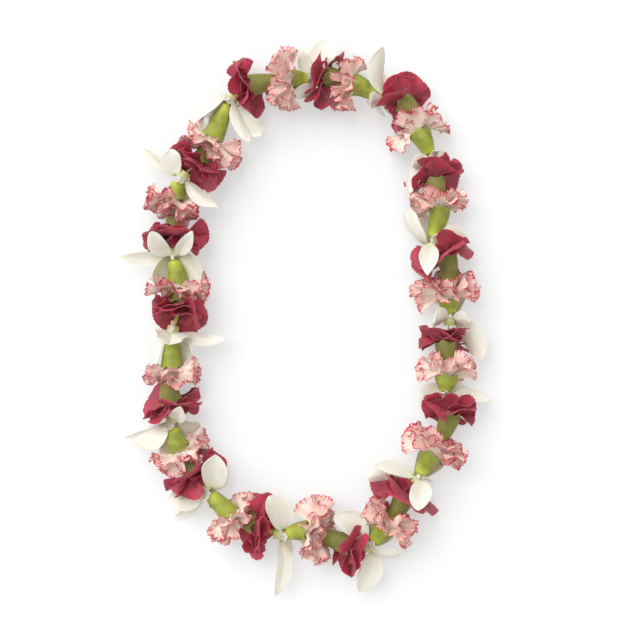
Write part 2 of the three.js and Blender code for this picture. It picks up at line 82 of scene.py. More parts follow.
class Value:
    """A number socket of a node tree, on which Python's operators add Math nodes."""

    def __init__(self, graph: Graph, socket: bpy.types.NodeSocket) -> None:
        """Wraps one output socket of a graph."""
        self.graph = graph
        self.socket = socket

    def __add__(self, other: Number) -> Value:
        """Returns the sum."""
        return self.graph.maths("ADD", self, other)

    def __radd__(self, other: Number) -> Value:
        """Returns the sum."""
        return self.graph.maths("ADD", other, self)

    def __sub__(self, other: Number) -> Value:
        """Returns the difference."""
        return self.graph.maths("SUBTRACT", self, other)

    def __rsub__(self, other: Number) -> Value:
        """Returns the difference, the other way round."""
        return self.graph.maths("SUBTRACT", other, self)

    def __mul__(self, other: Number) -> Value:
        """Returns the product."""
        return self.graph.maths("MULTIPLY", self, other)

    def __rmul__(self, other: Number) -> Value:
        """Returns the product."""
        return self.graph.maths("MULTIPLY", other, self)

    def __truediv__(self, other: Number) -> Value:
        """Returns the quotient."""
        return self.graph.maths("DIVIDE", self, other)

    def __rtruediv__(self, other: Number) -> Value:
        """Returns the quotient, the other way round."""
        return self.graph.maths("DIVIDE", other, self)

    def __pow__(self, other: Number) -> Value:
        """Returns the power."""
        return self.graph.maths("POWER", self, other)

    def __neg__(self) -> Value:
        """Returns the negative."""
        return self.graph.maths("MULTIPLY", self, -1.0)

    def sin(self) -> Value:
        """Returns the sine of an angle in radians."""
        return self.graph.maths("SINE", self)

    def cos(self) -> Value:
        """Returns the cosine of an angle in radians."""
        return self.graph.maths("COSINE", self)

    def size(self) -> Value:
        """Returns the value without its sign."""
        return self.graph.maths("ABSOLUTE", self)

    def clamped(self) -> Value:
        """Returns the value held between 0 and 1."""
        return self.graph.maths("ADD", self, 0.0, clamp=True)

    def eased(self, low: float, high: float) -> Value:
        """Returns a smooth step from 0 at low to 1 at high."""
        share = ((self - low) / (high - low)).clamped()
        return share * share * (3.0 - 2.0 * share)


Number = Value | float


class Graph:
    """Adds and links nodes in one shader or geometry tree, which it lays out in rows."""

    PER_ROW = 12
    SPACING = (200.0, -160.0)

    def __init__(self, tree: bpy.types.NodeTree) -> None:
        """Starts on a tree, which it empties."""
        self.tree = tree
        tree.nodes.clear()

    def node(self, kind: str, settings: dict[str, Any] | None = None, **sockets: Any) -> bpy.types.Node:
        """Adds a node.

        Args:
            kind: Blender's type name of the node.
            settings: Properties of the node, which are set before its sockets.
            **sockets: A value or a link for each input, by name with underscores for spaces, or
                by number with a leading underscore.

        Returns:
            The node.
        """
        made = self.tree.nodes.new(kind)
        row, column = divmod(len(self.tree.nodes), self.PER_ROW)
        made.location = (self.SPACING[0] * column, self.SPACING[1] * row)
        for name, setting in (settings or {}).items():
            setattr(made, name, setting)
        for name, given in sockets.items():
            self.feed(self.find(made.inputs, name), given)
        return made

    @staticmethod
    def find(sockets: Any, name: str) -> bpy.types.NodeSocket:
        """Returns the socket in use that has a name, or a number after an underscore."""
        if name.startswith("_"):
            return sockets[int(name[1:])]
        wanted = name.replace("_", " ").lower()
        named = [socket for socket in sockets if socket.name.lower() == wanted]
        return next((socket for socket in named if socket.enabled), named[0])

    def feed(self, socket: bpy.types.NodeSocket, given: Any) -> None:
        """Links a socket to what is given, or sets its own value."""
        if isinstance(given, bpy.types.Node):
            given = self.first(given)
        if isinstance(given, Value):
            given = given.socket
        if isinstance(given, bpy.types.NodeSocket):
            self.tree.links.new(given, socket)
        elif socket.type == "RGBA" and len(given) == 3:
            socket.default_value = (*given, 1.0)
        else:
            socket.default_value = given

    @staticmethod
    def first(node: bpy.types.Node) -> bpy.types.NodeSocket:
        """Returns a node's first output in use."""
        return next(socket for socket in node.outputs if socket.enabled)

    def value(self, node: bpy.types.Node, name: str | None = None) -> Value:
        """Returns an output of a node, the first unless one is named, as a number for operators."""
        return Value(self, self.first(node) if name is None else self.find(node.outputs, name))

    def maths(self, operation: str, *operands: Number, clamp: bool = False) -> Value:
        """Adds a Math node and returns its result."""
        settings = {"operation": operation, "use_clamp": clamp}
        numbered = {f"_{i}": operand for i, operand in enumerate(operands)}
        return self.value(self.node("ShaderNodeMath", settings, **numbered))

    def vector(self, x: Number, y: Number, z: Number) -> bpy.types.NodeSocket:
        """Returns a vector of three numbers."""
        return self.first(self.node("ShaderNodeCombineXYZ", None, _0=x, _1=y, _2=z))

    def scaled(self, vector: Any, by: Number) -> bpy.types.NodeSocket:
        """Returns a vector times a number."""
        return self.first(self.node("ShaderNodeVectorMath", {"operation": "SCALE"}, _0=vector, Scale=by))

    def total(self, *vectors: Any) -> bpy.types.NodeSocket:
        """Returns the sum of several vectors."""
        result = vectors[0]
        for vector in vectors[1:]:
            added = self.node("ShaderNodeVectorMath", {"operation": "ADD"}, _0=result, _1=vector)
            result = self.first(added)
        return result

    def noise(self, vector: Any, scale: float, detail: float = 2.0, roughness: float = 0.5) -> Value:
        """Returns a noise from 0 to 1 over a vector."""
        node = self.node(
            "ShaderNodeTexNoise", None, Vector=vector, Scale=scale, Detail=detail, Roughness=roughness
        )
        return self.value(node)

    def mixed(self, share: Number, low: Any, high: Any) -> bpy.types.NodeSocket:
        """Returns the colour between two, at a share of the way."""
        settings = {"data_type": "RGBA", "clamp_factor": True}
        return self.first(self.node("ShaderNodeMix", settings, Factor=share, A=low, B=high))


# ---- Finishes ----


class Sheet(Enum):
    """The names of the UV maps that the patterns follow."""

    BLADE = "blade"
    WRAP = "wrap"


class Surface:
    """One material on its Principled shader, with what its patterns read."""

    def __init__(self, name: str, **constants: Any) -> None:
        """Starts a material.

        Args:
            name: The material's name.
            **constants: Sockets of the shader that are the same all over the surface.
        """
        self.material = bpy.data.materials.new(name)
        self.material.use_nodes = True
        self.graph = Graph(self.material.node_tree)
        self.shader = self.graph.node("ShaderNodeBsdfPrincipled", None, **constants)
        self.graph.node("ShaderNodeOutputMaterial", None, Surface=self.shader)

    def blade(self, sheet: Sheet) -> tuple[Value, Value]:
        """Returns the two coordinates of a UV map: across and along, or round and along."""
        coordinates = self.graph.node("ShaderNodeUVMap", {"uv_map": sheet.value})
        split = self.graph.node("ShaderNodeSeparateXYZ", None, Vector=coordinates)
        return self.graph.value(split, "X"), self.graph.value(split, "Y")

    def attribute(self, name: str) -> Value:
        """Returns a number that the mesh carries under a name."""
        node = self.graph.node("ShaderNodeAttribute", {"attribute_name": name})
        return self.graph.value(node, "Fac")

    def place(self) -> bpy.types.NodeSocket:
        """Returns the object's own coordinates."""
        node = self.graph.node("ShaderNodeTexCoord")
        return self.graph.find(node.outputs, "Object")

    def paint(self, colour: Any, roughness: Number) -> None:
        """Feeds the shader's colour and roughness."""
        self.graph.feed(self.graph.find(self.shader.inputs, "Base_Color"), colour)
        self.graph.feed(self.graph.find(self.shader.inputs, "Roughness"), roughness)

    def emboss(self, height: Value, distance: float, strength: float = 1.0) -> None:
        """Raises the surface by a height, times a distance in metres."""
        bump = self.graph.node("ShaderNodeBump", None, Height=height, Distance=distance, Strength=strength)
        self.graph.feed(self.graph.find(self.shader.inputs, "Normal"), bump)


@dataclass(frozen=True)
class CrimsonFinish:
    """Satin crimson with darker clouds, painted highlights in patches towards the petal tips and a tawny
    claw.
    """

    deep: Colour = (0.250, 0.052, 0.066)
    body: Colour = (0.40, 0.052, 0.082)
    # A painted highlight colour, for the brighter crimson that the satin folds show in the light.
    bright: Colour = (0.62, 0.036, 0.104)
    claw: Colour = (0.30, 0.16, 0.08)

    def build(self) -> bpy.types.Material:
        """Returns the material."""
        surface = Surface(
            "crimson_petal", Sheen_Weight=0.3, Sheen_Roughness=0.35, Sheen_Tint=(1.0, 0.45, 0.55),
            Specular_IOR_Level=0.4, Subsurface_Weight=0.35, Subsurface_Radius=(1.0, 0.25, 0.3),
            Subsurface_Scale=0.002,
        )
        graph = surface.graph
        across, along = surface.blade(Sheet.BLADE)
        number, tone = surface.attribute("number"), surface.attribute("tone")
        streaks = graph.noise(graph.vector(across * 26.0, along * 2.2, number * 3.7), 1.0, 3.0, 0.6)
        clouds = graph.noise(graph.vector(across * 3.0, along * 2.5, number * 5.1), 1.0, 2.0)
        warm = (0.5 * streaks + 0.9 * clouds - 0.25 + 0.35 * tone).clamped()
        colour = graph.mixed(warm, self.deep, self.body)
        own = graph.noise(graph.vector(number * 1.37, 0.3, 0.7), 1.0, 0.0).eased(0.45, 0.62)
        # Painted highlight: brighter crimson in patches towards the petal tips, more on some blooms than
        # others.
        painted_highlight_share = (along.eased(0.3, 0.9) * clouds.eased(0.36, 0.68) * (0.35 + 0.65 * own * tone)).clamped()
        colour = graph.mixed(painted_highlight_share, colour, self.bright)
        colour = graph.mixed(1.0 - along.eased(0.0, 0.16), colour, self.claw)
        surface.paint(colour, 0.42 + 0.22 * streaks)
        surface.emboss(streaks + 0.4 * graph.noise(surface.place(), 900.0, 3.0), 0.0004, 0.8)
        return surface.material


@dataclass(frozen=True)
class PicoteeFinish:
    """Cream petals whose crimson margin runs inwards in fine streaks, with pink clouds that are partly
    painted warm shade.
    """

    ground: Colour = (0.90, 0.76, 0.68)
    heart: Colour = (0.93, 0.81, 0.62)
    # A salmon pink for the streaks and the clouds; in the clouds it is partly painted warm shade of the
    # folds.
    blush: Colour = (0.83, 0.42, 0.35)
    margin: Colour = (0.55, 0.045, 0.095)

    def build(self) -> bpy.types.Material:
        """Returns the material."""
        surface = Surface(
            "picotee_petal", Sheen_Weight=0.12, Sheen_Roughness=0.5, Specular_IOR_Level=0.3,
        )
        graph = surface.graph
        across, along = surface.blade(Sheet.BLADE)
        number, tone = surface.attribute("number"), surface.attribute("tone")
        coarse = graph.noise(graph.vector(across * 13.0, along * 1.3, number * 3.1), 1.0, 3.0, 0.65)
        fine = graph.noise(graph.vector(across * 40.0, along * 2.6, number * 7.7), 1.0, 2.0, 0.6)
        soft = graph.noise(graph.vector(across * 3.0, along * 2.0, number * 1.9), 1.0, 1.0)
        reach = along + 0.34 * (coarse - 0.5) + 0.22 * (fine - 0.5) + 0.07 * (tone - 0.5)
        colour = graph.mixed(along.eased(0.05, 0.42), self.heart, self.ground)
        # Pink clouds, partly the petal's own colour and partly painted warm shade, deeper on some blooms.
        pink_clouds_and_painted_shade = (soft.eased(0.4, 0.75) * along.eased(0.2, 0.7) * (0.25 + 0.7 * tone)).clamped()
        colour = graph.mixed(pink_clouds_and_painted_shade, colour, self.blush)
        streaks = (reach.eased(0.62, 0.96) * fine.eased(0.4, 0.58) * 0.8).clamped()
        colour = graph.mixed(streaks, colour, self.blush)
        lines = (reach.eased(0.55, 0.93) * fine.eased(0.54, 0.66) * 0.7).clamped()
        colour = graph.mixed(lines, colour, self.margin)
        colour = graph.mixed(reach.eased(0.91, 1.02), colour, self.margin)
        surface.paint(colour, 0.55 + 0.15 * fine)
        surface.emboss(coarse + 0.5 * fine, 0.0004, 0.8)
        return surface.material


@dataclass(frozen=True)
class OrchidFinish:
    """Waxy ivory with faint veins, warm beige clouds of painted shade, a yellow-green throat and a pinkish
    stalk.
    """

    ivory: Colour = (0.79, 0.785, 0.71)
    # The beige of the painted shade.
    shade: Colour = (0.71, 0.64, 0.51)
    vein: Colour = (0.66, 0.63, 0.44)
    throat: Colour = (0.50, 0.54, 0.13)
    pedicel: Colour = (0.62, 0.40, 0.32)

    def build(self) -> bpy.types.Material:
        """Returns the material."""
        surface = Surface(
            "orchid_tepal", Specular_IOR_Level=0.42, Coat_Roughness=0.3, Coat_Weight=0.08,
            Subsurface_Weight=0.3, Subsurface_Radius=(1.0, 0.8, 0.5), Subsurface_Scale=0.002,
        )
        graph = surface.graph
        across, along = surface.blade(Sheet.BLADE)
        number = surface.attribute("number")
        clouds = graph.noise(graph.vector(across * 2.0, along * 2.0, number * 2.3), 1.0, 2.0)
        wander = 0.5 * graph.noise(graph.vector(across * 3.0, along * 4.0, number), 1.0, 2.0)
        lines = ((across * 15.0 + wander) * math.pi).sin().size()
        veins = (1.0 - lines.eased(0.0, 0.4)) * (1.0 - along.eased(0.55, 0.95))
        # Painted shade: warm beige clouds over the ivory.
        colour = graph.mixed(clouds.eased(0.35, 0.8) * 0.6, self.ivory, self.shade)
        colour = graph.mixed(veins * 0.28, colour, self.vein)
        depth = 1.0 - along.eased(-0.05, 0.42)
        colour = graph.mixed(0.95 * depth * depth, colour, self.throat)
        colour = graph.mixed(along.eased(1.5, 2.0), colour, self.pedicel)
        surface.paint(colour, 0.36 + 0.14 * clouds)
        surface.emboss(clouds - 0.3 * veins, 0.0003, 0.7)
        return surface.material


@dataclass(frozen=True)
class CalyxFinish:
    """Green cups, yellower at the foot, with ribs and pale edges on their teeth."""

    foot: Colour = (0.54, 0.57, 0.07)
    body: Colour = (0.31, 0.35, 0.034)
    olive: Colour = (0.225, 0.210, 0.042)
    dark: Colour = (0.120, 0.145, 0.025)
    edge: Colour = (0.52, 0.52, 0.24)

    def build(self) -> bpy.types.Material:
        """Returns the material."""
        surface = Surface("calyx_green", Specular_IOR_Level=0.4)
        graph = surface.graph
        around, along = surface.blade(Sheet.WRAP)
        tone = surface.attribute("tone")
        clouds = graph.noise(surface.place(), 160.0, 3.0)
        ribs = (around * 2.0 * math.pi * 20.0).cos() * 0.5 + 0.5
        colour = graph.mixed(tone, self.body, self.olive)
        colour = graph.mixed(clouds.eased(0.35, 0.75) * 0.6, colour, self.dark)
        colour = graph.mixed(0.85 * (1.0 - along.eased(0.02, 0.5)), colour, self.foot)
        colour = graph.mixed(ribs * 0.05, colour, self.edge)
        colour = graph.mixed(along.eased(1.02, 1.16) * 0.55, colour, self.edge)
        surface.paint(colour, 0.45 + 0.15 * clouds)
        surface.emboss(0.4 * ribs + 0.8 * graph.noise(surface.place(), 700.0, 3.0), 0.0002, 0.5)
        return surface.material


@dataclass(frozen=True)
class ThreadFinish:
    """Undyed cotton."""

    light: Colour = (0.86, 0.79, 0.62)
    dark: Colour = (0.60, 0.52, 0.36)

    def build(self) -> bpy.types.Material:
        """Returns the material."""
        surface = Surface("cotton_thread", Sheen_Weight=0.3, Specular_IOR_Level=0.2)
        graph = surface.graph
        fibres = graph.noise(surface.place(), 2600.0, 4.0, 0.7)
        surface.paint(graph.mixed(fibres, self.dark, self.light), 0.8 + 0.1 * fibres)
        surface.emboss(fibres, 0.0002)
        return surface.material


@dataclass(frozen=True)
class FloorFinish:
    """A plain surface that glows a little, so that it reads as pure white."""

    colour: Colour = (0.48, 0.496, 0.50)
    cloud: Colour = (0.54, 0.55, 0.55)
    glow: float = 0.42

    def build(self) -> bpy.types.Material:
        """Returns the material."""
        surface = Surface(
            "pale_floor", Specular_IOR_Level=0.1, Emission_Color=(1.0, 1.0, 1.0),
            Emission_Strength=self.glow,
        )
        clouds = surface.graph.noise(surface.place(), 3.0)
        surface.paint(surface.graph.mixed(clouds * 0.1, self.colour, self.cloud), 0.9)
        return surface.material


# ---- Meshes ----


def new_object(name: str, data: bpy.types.ID) -> bpy.types.Object:
    """Returns an object of a mesh, a curve, a light or a camera in the scene."""
    made = bpy.data.objects.new(name, data)
    bpy.context.scene.collection.objects.link(made)
    return made


@dataclass
class Shell:
    """A growing mesh of quads and triangles, in millimetres, with a wrap map and a tone."""

    points: list[Points] = field(default_factory=list)
    faces: list[tuple[int, ...]] = field(default_factory=list)
    wraps: list[list[tuple[float, float]]] = field(default_factory=list)
    tones: list[float] = field(default_factory=list)

    def add_rings(self, rings: Sequence[Points], alongs: Sequence[float], tone: float = 0.0) -> None:
        """Adds a closed skin through rings of equal counts, capped at both ends.

        Args:
            rings: The rings, from the back to the front, each of shape (sides, 3).
            alongs: The wrap map's second coordinate at each ring.
            tone: A number that the finish reads.
        """
        start, sides = len(self.points), len(rings[0])
        for circle in rings:
            self.points.extend(circle)
        self.tones.extend([tone] * (sides * len(rings) + 2))
        for r in range(len(rings) - 1):
            for i in range(sides):
                j = (i + 1) % sides
                a, b = start + r * sides + i, start + r * sides + j
                self.faces.append((a, b, b + sides, a + sides))
                low, high = i / sides, (i + 1) / sides
                near, far = alongs[r], alongs[r + 1]
                self.wraps.append([(low, near), (high, near), (high, far), (low, far)])
        for ring_at, flip in ((0, True), (len(rings) - 1, False)):
            centre = len(self.points)
            self.points.append(np.mean(rings[ring_at], axis=0))
            for i in range(sides):
                a = start + ring_at * sides + i
                b = start + ring_at * sides + (i + 1) % sides
                self.faces.append((b, a, centre) if flip else (a, b, centre))
                spots = [((i + 1) / sides, alongs[ring_at]), (i / sides, alongs[ring_at])]
                spots = spots if flip else spots[::-1]
                self.wraps.append([*spots, ((i + 0.5) / sides, alongs[ring_at])])

    def to_mesh(self, name: str, sheet: Sheet, attribute: str) -> bpy.types.Mesh:
        """Returns Blender's mesh, smooth but for its sharp edges, with its map and its numbers."""
        mesh = bpy.data.meshes.new(name)
        places = np.array(self.points) * MILLIMETRE
        mesh.from_pydata(places.tolist(), [], self.faces)
        uv = mesh.uv_layers.new(name=sheet.value)
        uv.data.foreach_set("uv", np.array([spot for face in self.wraps for spot in face]).ravel())
        tones = mesh.attributes.new(attribute, "FLOAT", "POINT")
        tones.data.foreach_set("value", np.array(self.tones, np.float32))
        mesh.update()
        smooth(mesh)
        return mesh


def full_turn(count: int) -> Points:
    """Returns evenly spaced angles round a circle, in radians."""
    return np.linspace(0.0, 2 * math.pi, count, endpoint=False)


def smooth(mesh: bpy.types.Mesh, angle: float = 50.0) -> None:
    """Shades a mesh smooth, but for edges sharper than an angle in degrees."""
    mesh.shade_smooth()
    mesh.set_sharp_from_angle(angle=math.radians(angle))


def baked(owner: bpy.types.Object, name: str) -> bpy.types.Object:
    """Turns an object with live modifiers into a plain mesh of a new name, and removes it."""
    evaluated = owner.evaluated_get(bpy.context.evaluated_depsgraph_get())
    mesh = bpy.data.meshes.new_from_object(evaluated)
    mesh.name = name
    old = owner.data
    bpy.data.objects.remove(owner)
    (bpy.data.curves if isinstance(old, bpy.types.Curve) else bpy.data.meshes).remove(old)
    smooth(mesh, angle=60.0)
    return new_object(name, mesh)


def thicken(owner: bpy.types.Object, thickness: float) -> None:
    """Gives an object's blades a wall, half on each side, of a thickness in millimetres."""
    wall = owner.modifiers.new("wall", "SOLIDIFY")
    wall.thickness, wall.offset = thickness * MILLIMETRE, 0.0


class Recipe:
    """A geometry tree with named inputs, run on an object as a modifier."""

    KINDS = {float: "NodeSocketFloat", int: "NodeSocketInt", tuple: "NodeSocketVector"}

    def __init__(self, name: str, sizes: dict[str, Any]) -> None:
        """Starts a tree.

        Args:
            name: The tree's name.
            sizes: Its named inputs with their usual values.
        """
        self.tree = bpy.data.node_groups.new(name, "GeometryNodeTree")
        self.graph = Graph(self.tree)
        face = self.tree.interface
        face.new_socket(name="Geometry", in_out="INPUT", socket_type="NodeSocketGeometry")
        for label, usual in sizes.items():
            socket = face.new_socket(name=label, in_out="INPUT", socket_type=self.KINDS[type(usual)])
            socket.default_value = usual
        face.new_socket(name="Material", in_out="INPUT", socket_type="NodeSocketMaterial")
        face.new_socket(name="Geometry", in_out="OUTPUT", socket_type="NodeSocketGeometry")
        self.given = self.graph.node("NodeGroupInput")

    def size(self, label: str) -> Value:
        """Returns a named input as a number."""
        return self.graph.value(self.given, label)

    def link(self, label: str) -> bpy.types.NodeSocket:
        """Returns a named input's socket."""
        return self.given.outputs[label]

    def read(self, name: str) -> Value:
        """Returns a number that the points carry under a name."""
        return self.graph.value(
            self.graph.node("GeometryNodeInputNamedAttribute", {"data_type": "FLOAT"}, Name=name)
        )

    def store(self, geometry: Any, name: str, number: Any, data_type: str = "FLOAT",
              domain: str = "POINT") -> bpy.types.Node:
        """Returns the node that stores a number on the geometry under a name."""
        settings = {"data_type": data_type, "domain": domain}
        return self.graph.node(
            "GeometryNodeStoreNamedAttribute", settings, Geometry=geometry, Name=name, Value=number
        )

    def grids(self) -> bpy.types.Node:
        """Returns a real grid for each point, which carries its shares across and along."""
        graph = self.graph
        grid = graph.node(
            "GeometryNodeMeshGrid", None, Size_X=2.0, Size_Y=1.0,
            Vertices_X=self.link("Columns"), Vertices_Y=self.link("Rows"),
        )
        position = graph.node("GeometryNodeInputPosition")
        split = graph.node("ShaderNodeSeparateXYZ", None, Vector=position)
        marked = self.store(grid, "across", graph.value(split, "X"))
        marked = self.store(marked, "along", graph.value(split, "Y") + 0.5)
        placed = graph.node(
            "GeometryNodeInstanceOnPoints", None, Points=self.link("Geometry"), Instance=marked
        )
        return graph.node("GeometryNodeRealizeInstances", None, Geometry=placed)

    def lay(self, grids: bpy.types.Node, place: Any, sheet: Sheet, spot: Any) -> None:
        """Moves the grids' points, gives them their map and ends the tree.

        Args:
            grids: The grids.
            place: Where each point goes, in millimetres.
            sheet: The name of the map.
            spot: Each point's coordinates on it.
        """
        graph = self.graph
        shaped = graph.node(
            "GeometryNodeSetPosition", None, Geometry=grids, Position=graph.scaled(place, MILLIMETRE)
        )
        mapped = self.store(shaped, sheet.value, spot, "FLOAT2", "CORNER")
        self.finish(graph.node("GeometryNodeMergeByDistance", None, Geometry=mapped, Distance=1e-6))

    def finish(self, geometry: Any) -> None:
        """Ends the tree: instances made real, and its material set."""
        real = self.graph.node("GeometryNodeRealizeInstances", None, Geometry=geometry)
        dressed = self.graph.node(
            "GeometryNodeSetMaterial", None, Geometry=real, Material=self.link("Material")
        )
        self.graph.node("NodeGroupOutput", None, Geometry=dressed)

    def run(self, owner: bpy.types.Object, material: bpy.types.Material, **sizes: Any) -> None:
        """Puts the tree on an object.

        Args:
            owner: The object that gets the modifier.
            material: The material of what the tree makes.
            **sizes: Values of the named inputs, with underscores for spaces.
        """
        modifier = owner.modifiers.new(self.tree.name, "NODES")
        modifier.node_group = self.tree
        wanted = {label.replace("_", " ").lower(): given for label, given in sizes.items()}
        for item in self.tree.interface.items_tree:
            if item.in_out == "INPUT" and item.name.lower() in wanted:
                modifier[item.identifier] = wanted[item.name.lower()]
            elif item.in_out == "INPUT" and item.name == "Material":
                modifier[item.identifier] = material


# ---- The layout: the blooms' places, headings and leans are the solids' own ----

CRIMSON_PLACES = [
    (-41, 186, 193, 0), (-82, 126, 232, 12), (-103, 70, 270, -5), (-99, 10, 256, 25),
    (-107, -65, 284, -22), (-90, -122, 300, -5), (-41, -165, 337, 5), (34, -182, 342, -10),
    (80, -146, 66, -18), (117, -80, 78, -8), (114, -23, 90, -12), (114, 48, 120, 5),
    (105, 107, 105, -20), (82, 170, 134, -30), (21, 192, 168, -20),
]  # x, y, heading and lean of each crimson bloom's mouth
PICOTEE_PLACES = [
    (-72, 146, 240, -15), (-104, 96, 249, 12), (-101, 30, 272, -10), (-106, -38, 270, -8),
    (-101, -103, 295, -20), (-60, -158, 307, 0), (2, -172, 354, 15), (64, -170, 53, 5),
    (102, -111, 60, 0), (115, -50, 87, -15), (116, 13, 101, 10), (109, 85, 92, -10),
    (94, 146, 117, -20), (42, 186, 168, -5), (-7, 190, 180, 5),
]  # the same for each picotee bloom
ORCHID_PLACES = [
    (-57, 176, [(75, 52), (90, 64), (180, 50), (-150, 55), (-80, 36, 1.05, 1.15)]),
    (-97, 113, [(-92, 80, 1.0, 0.8), (-68, 106, 0.62), (82, 74, 0.95), (170, 75), (130, 55, 0.7)]),
    (-105, 51, [(-90, 80, 1.05), (-38, 112, 0.8, 0.76), (40, 112, 0.8, 0.9), (92, 38, 1, 1.3),
                (-96, 40, 1.05)]),
    (-105, -11, [(88, 80, 1.05, 0.9), (105, 40, 0.8), (30, 62, 0.45, 1.4), (-30, 62, 0.45, 1.4),
                 (-88, 34, 1, 0.8)]),
    (-106, -83, [(29, 109, 0.6), (112, 50, 0.6), (-150, 80), (-104, 68, 1.05, 0.7), (-72, 50, 0.95, 1.05)]),
    (-79, -138, [(120, 78, 0.6), (48, 104, 1.0, 1.1), (175, 85), (-118, 76, 1.05, 0.8), (-96, 100, 0.8)]),
    (-20, -174, [(95, 98, 0.7), (60, 94, 1, 1.1), (170, 80), (-130, 60, 0.7), (-92, 68, 1.35, 0.72)]),
    (51, -184, [(120, 58, 0.8), (80, 102, 1, 1.05), (-80, 44, 1.2), (170, 85), (-88, 106, 1.0, 1.05)]),
    (90, -131, [(75, 92, 0.9), (95, 108, 1.05, 0.75), (-150, 80), (170, 60), (-22, 110, 0.9, 0.9)]),
    (114, -66, [(125, 90, 0.6), (118, 50, 0.6, 0.8), (-100, 88, 0.9), (180, 90), (-125, 55, 0.6)]),
    (117, -3, [(-60, 84, 0.4), (40, 84, 0.55, 0.9), (150, 85, 0.5), (-150, 80), (-98, 124, 1.15)]),
    (104, 58, [(24, 116, 1.0, 1.2), (84, 36), (180, 60), (-140, 80), (-82, 84, 0.75)]),
    (103, 125, [(60, 84, 0.45), (84, 118, 0.85, 0.62), (-120, 85, 0.4), (180, 80), (-160, 60, 0.6)]),
    (63, 175, [(30, 50, 0.4), (-74, 52, 1.1, 0.9), (170, 100), (-120, 60, 0.6), (150, 80, 0.4)]),
    (10, 190, [(-100, 60, 0.7), (-80, 112, 1.0, 1.1), (70, 36, 0.6), (180, 80), (150, 60, 0.5)]),
]  # x and y of each orchid's heart, then each tepal's azimuth, tilt and shares of length and width

REPEATS = len(CRIMSON_PLACES)


class Bloom(Enum):
    """The three blooms of a repeat, in the order in which the thread meets them."""

    CRIMSON = 0
    ORCHID = 1
    PICOTEE = 2

    @classmethod
    def at(cls, order: int) -> Bloom:
        """Returns the kind of the bloom at a place along the thread, which may be before its start."""
        return cls(order % len(cls))


BLOOMS = len(Bloom) * REPEATS

@dataclass(frozen=True)
class Stand:
    """Where a piece stands and which way it looks: left, up and ahead."""

    place: Points
    left: Points
    up: Points
    ahead: Points

    @classmethod
    def facing(cls, place: Points, ahead: Points) -> Stand:
        """Returns the stand at a place that looks ahead, with its left side level."""
        forward = ahead / np.linalg.norm(ahead)
        left = np.array([-forward[1], forward[0], 0.0])
        left /= np.linalg.norm(left)
        return cls(np.asarray(place, float), left, np.cross(forward, left), forward)

    def out(self, local: Points) -> Points:
        """Returns points given as left, up and ahead in the lei's own coordinates."""
        left, up, ahead = local[..., :1], local[..., 1:2], local[..., 2:3]
        return self.place + left * self.left + up * self.up + ahead * self.ahead


@dataclass(frozen=True)
class Floor:
    """The surface under the lei, along which whatever lies lower is bent."""

    level: float = 0.3
    softness: float = 1.6
    exponent_limit: float = 60.0
    straight_above: float = 50.0

    def settle(self, points: Points) -> Points:
        """Returns points with those under the surface bent up to it."""
        bent = points.copy()
        depth = (points[..., 2] - self.level) / self.softness
        depth = np.clip(depth, -self.exponent_limit, self.exponent_limit)
        lifted = self.level + self.softness * np.log1p(np.exp(depth))
        bent[..., 2] = np.where(depth > self.straight_above, points[..., 2], lifted)
        return bent

    def reachable(self, tilt: float, azimuth: float, reach: float, stand: Stand) -> float:
        """Returns the tilt, in degrees, at which a blade that points down just meets the surface."""
        turn = math.radians(azimuth)
        outward = math.sin(turn) * stand.left + math.cos(turn) * stand.up
        drop = reach * max(-float(outward[2]), 0.0)
        room = float(stand.place[2]) - self.level
        if drop * math.sin(math.radians(tilt)) <= room:
            return tilt
        limit = math.degrees(math.asin(room / drop))
        return 180.0 - limit if tilt > 90.0 else limit


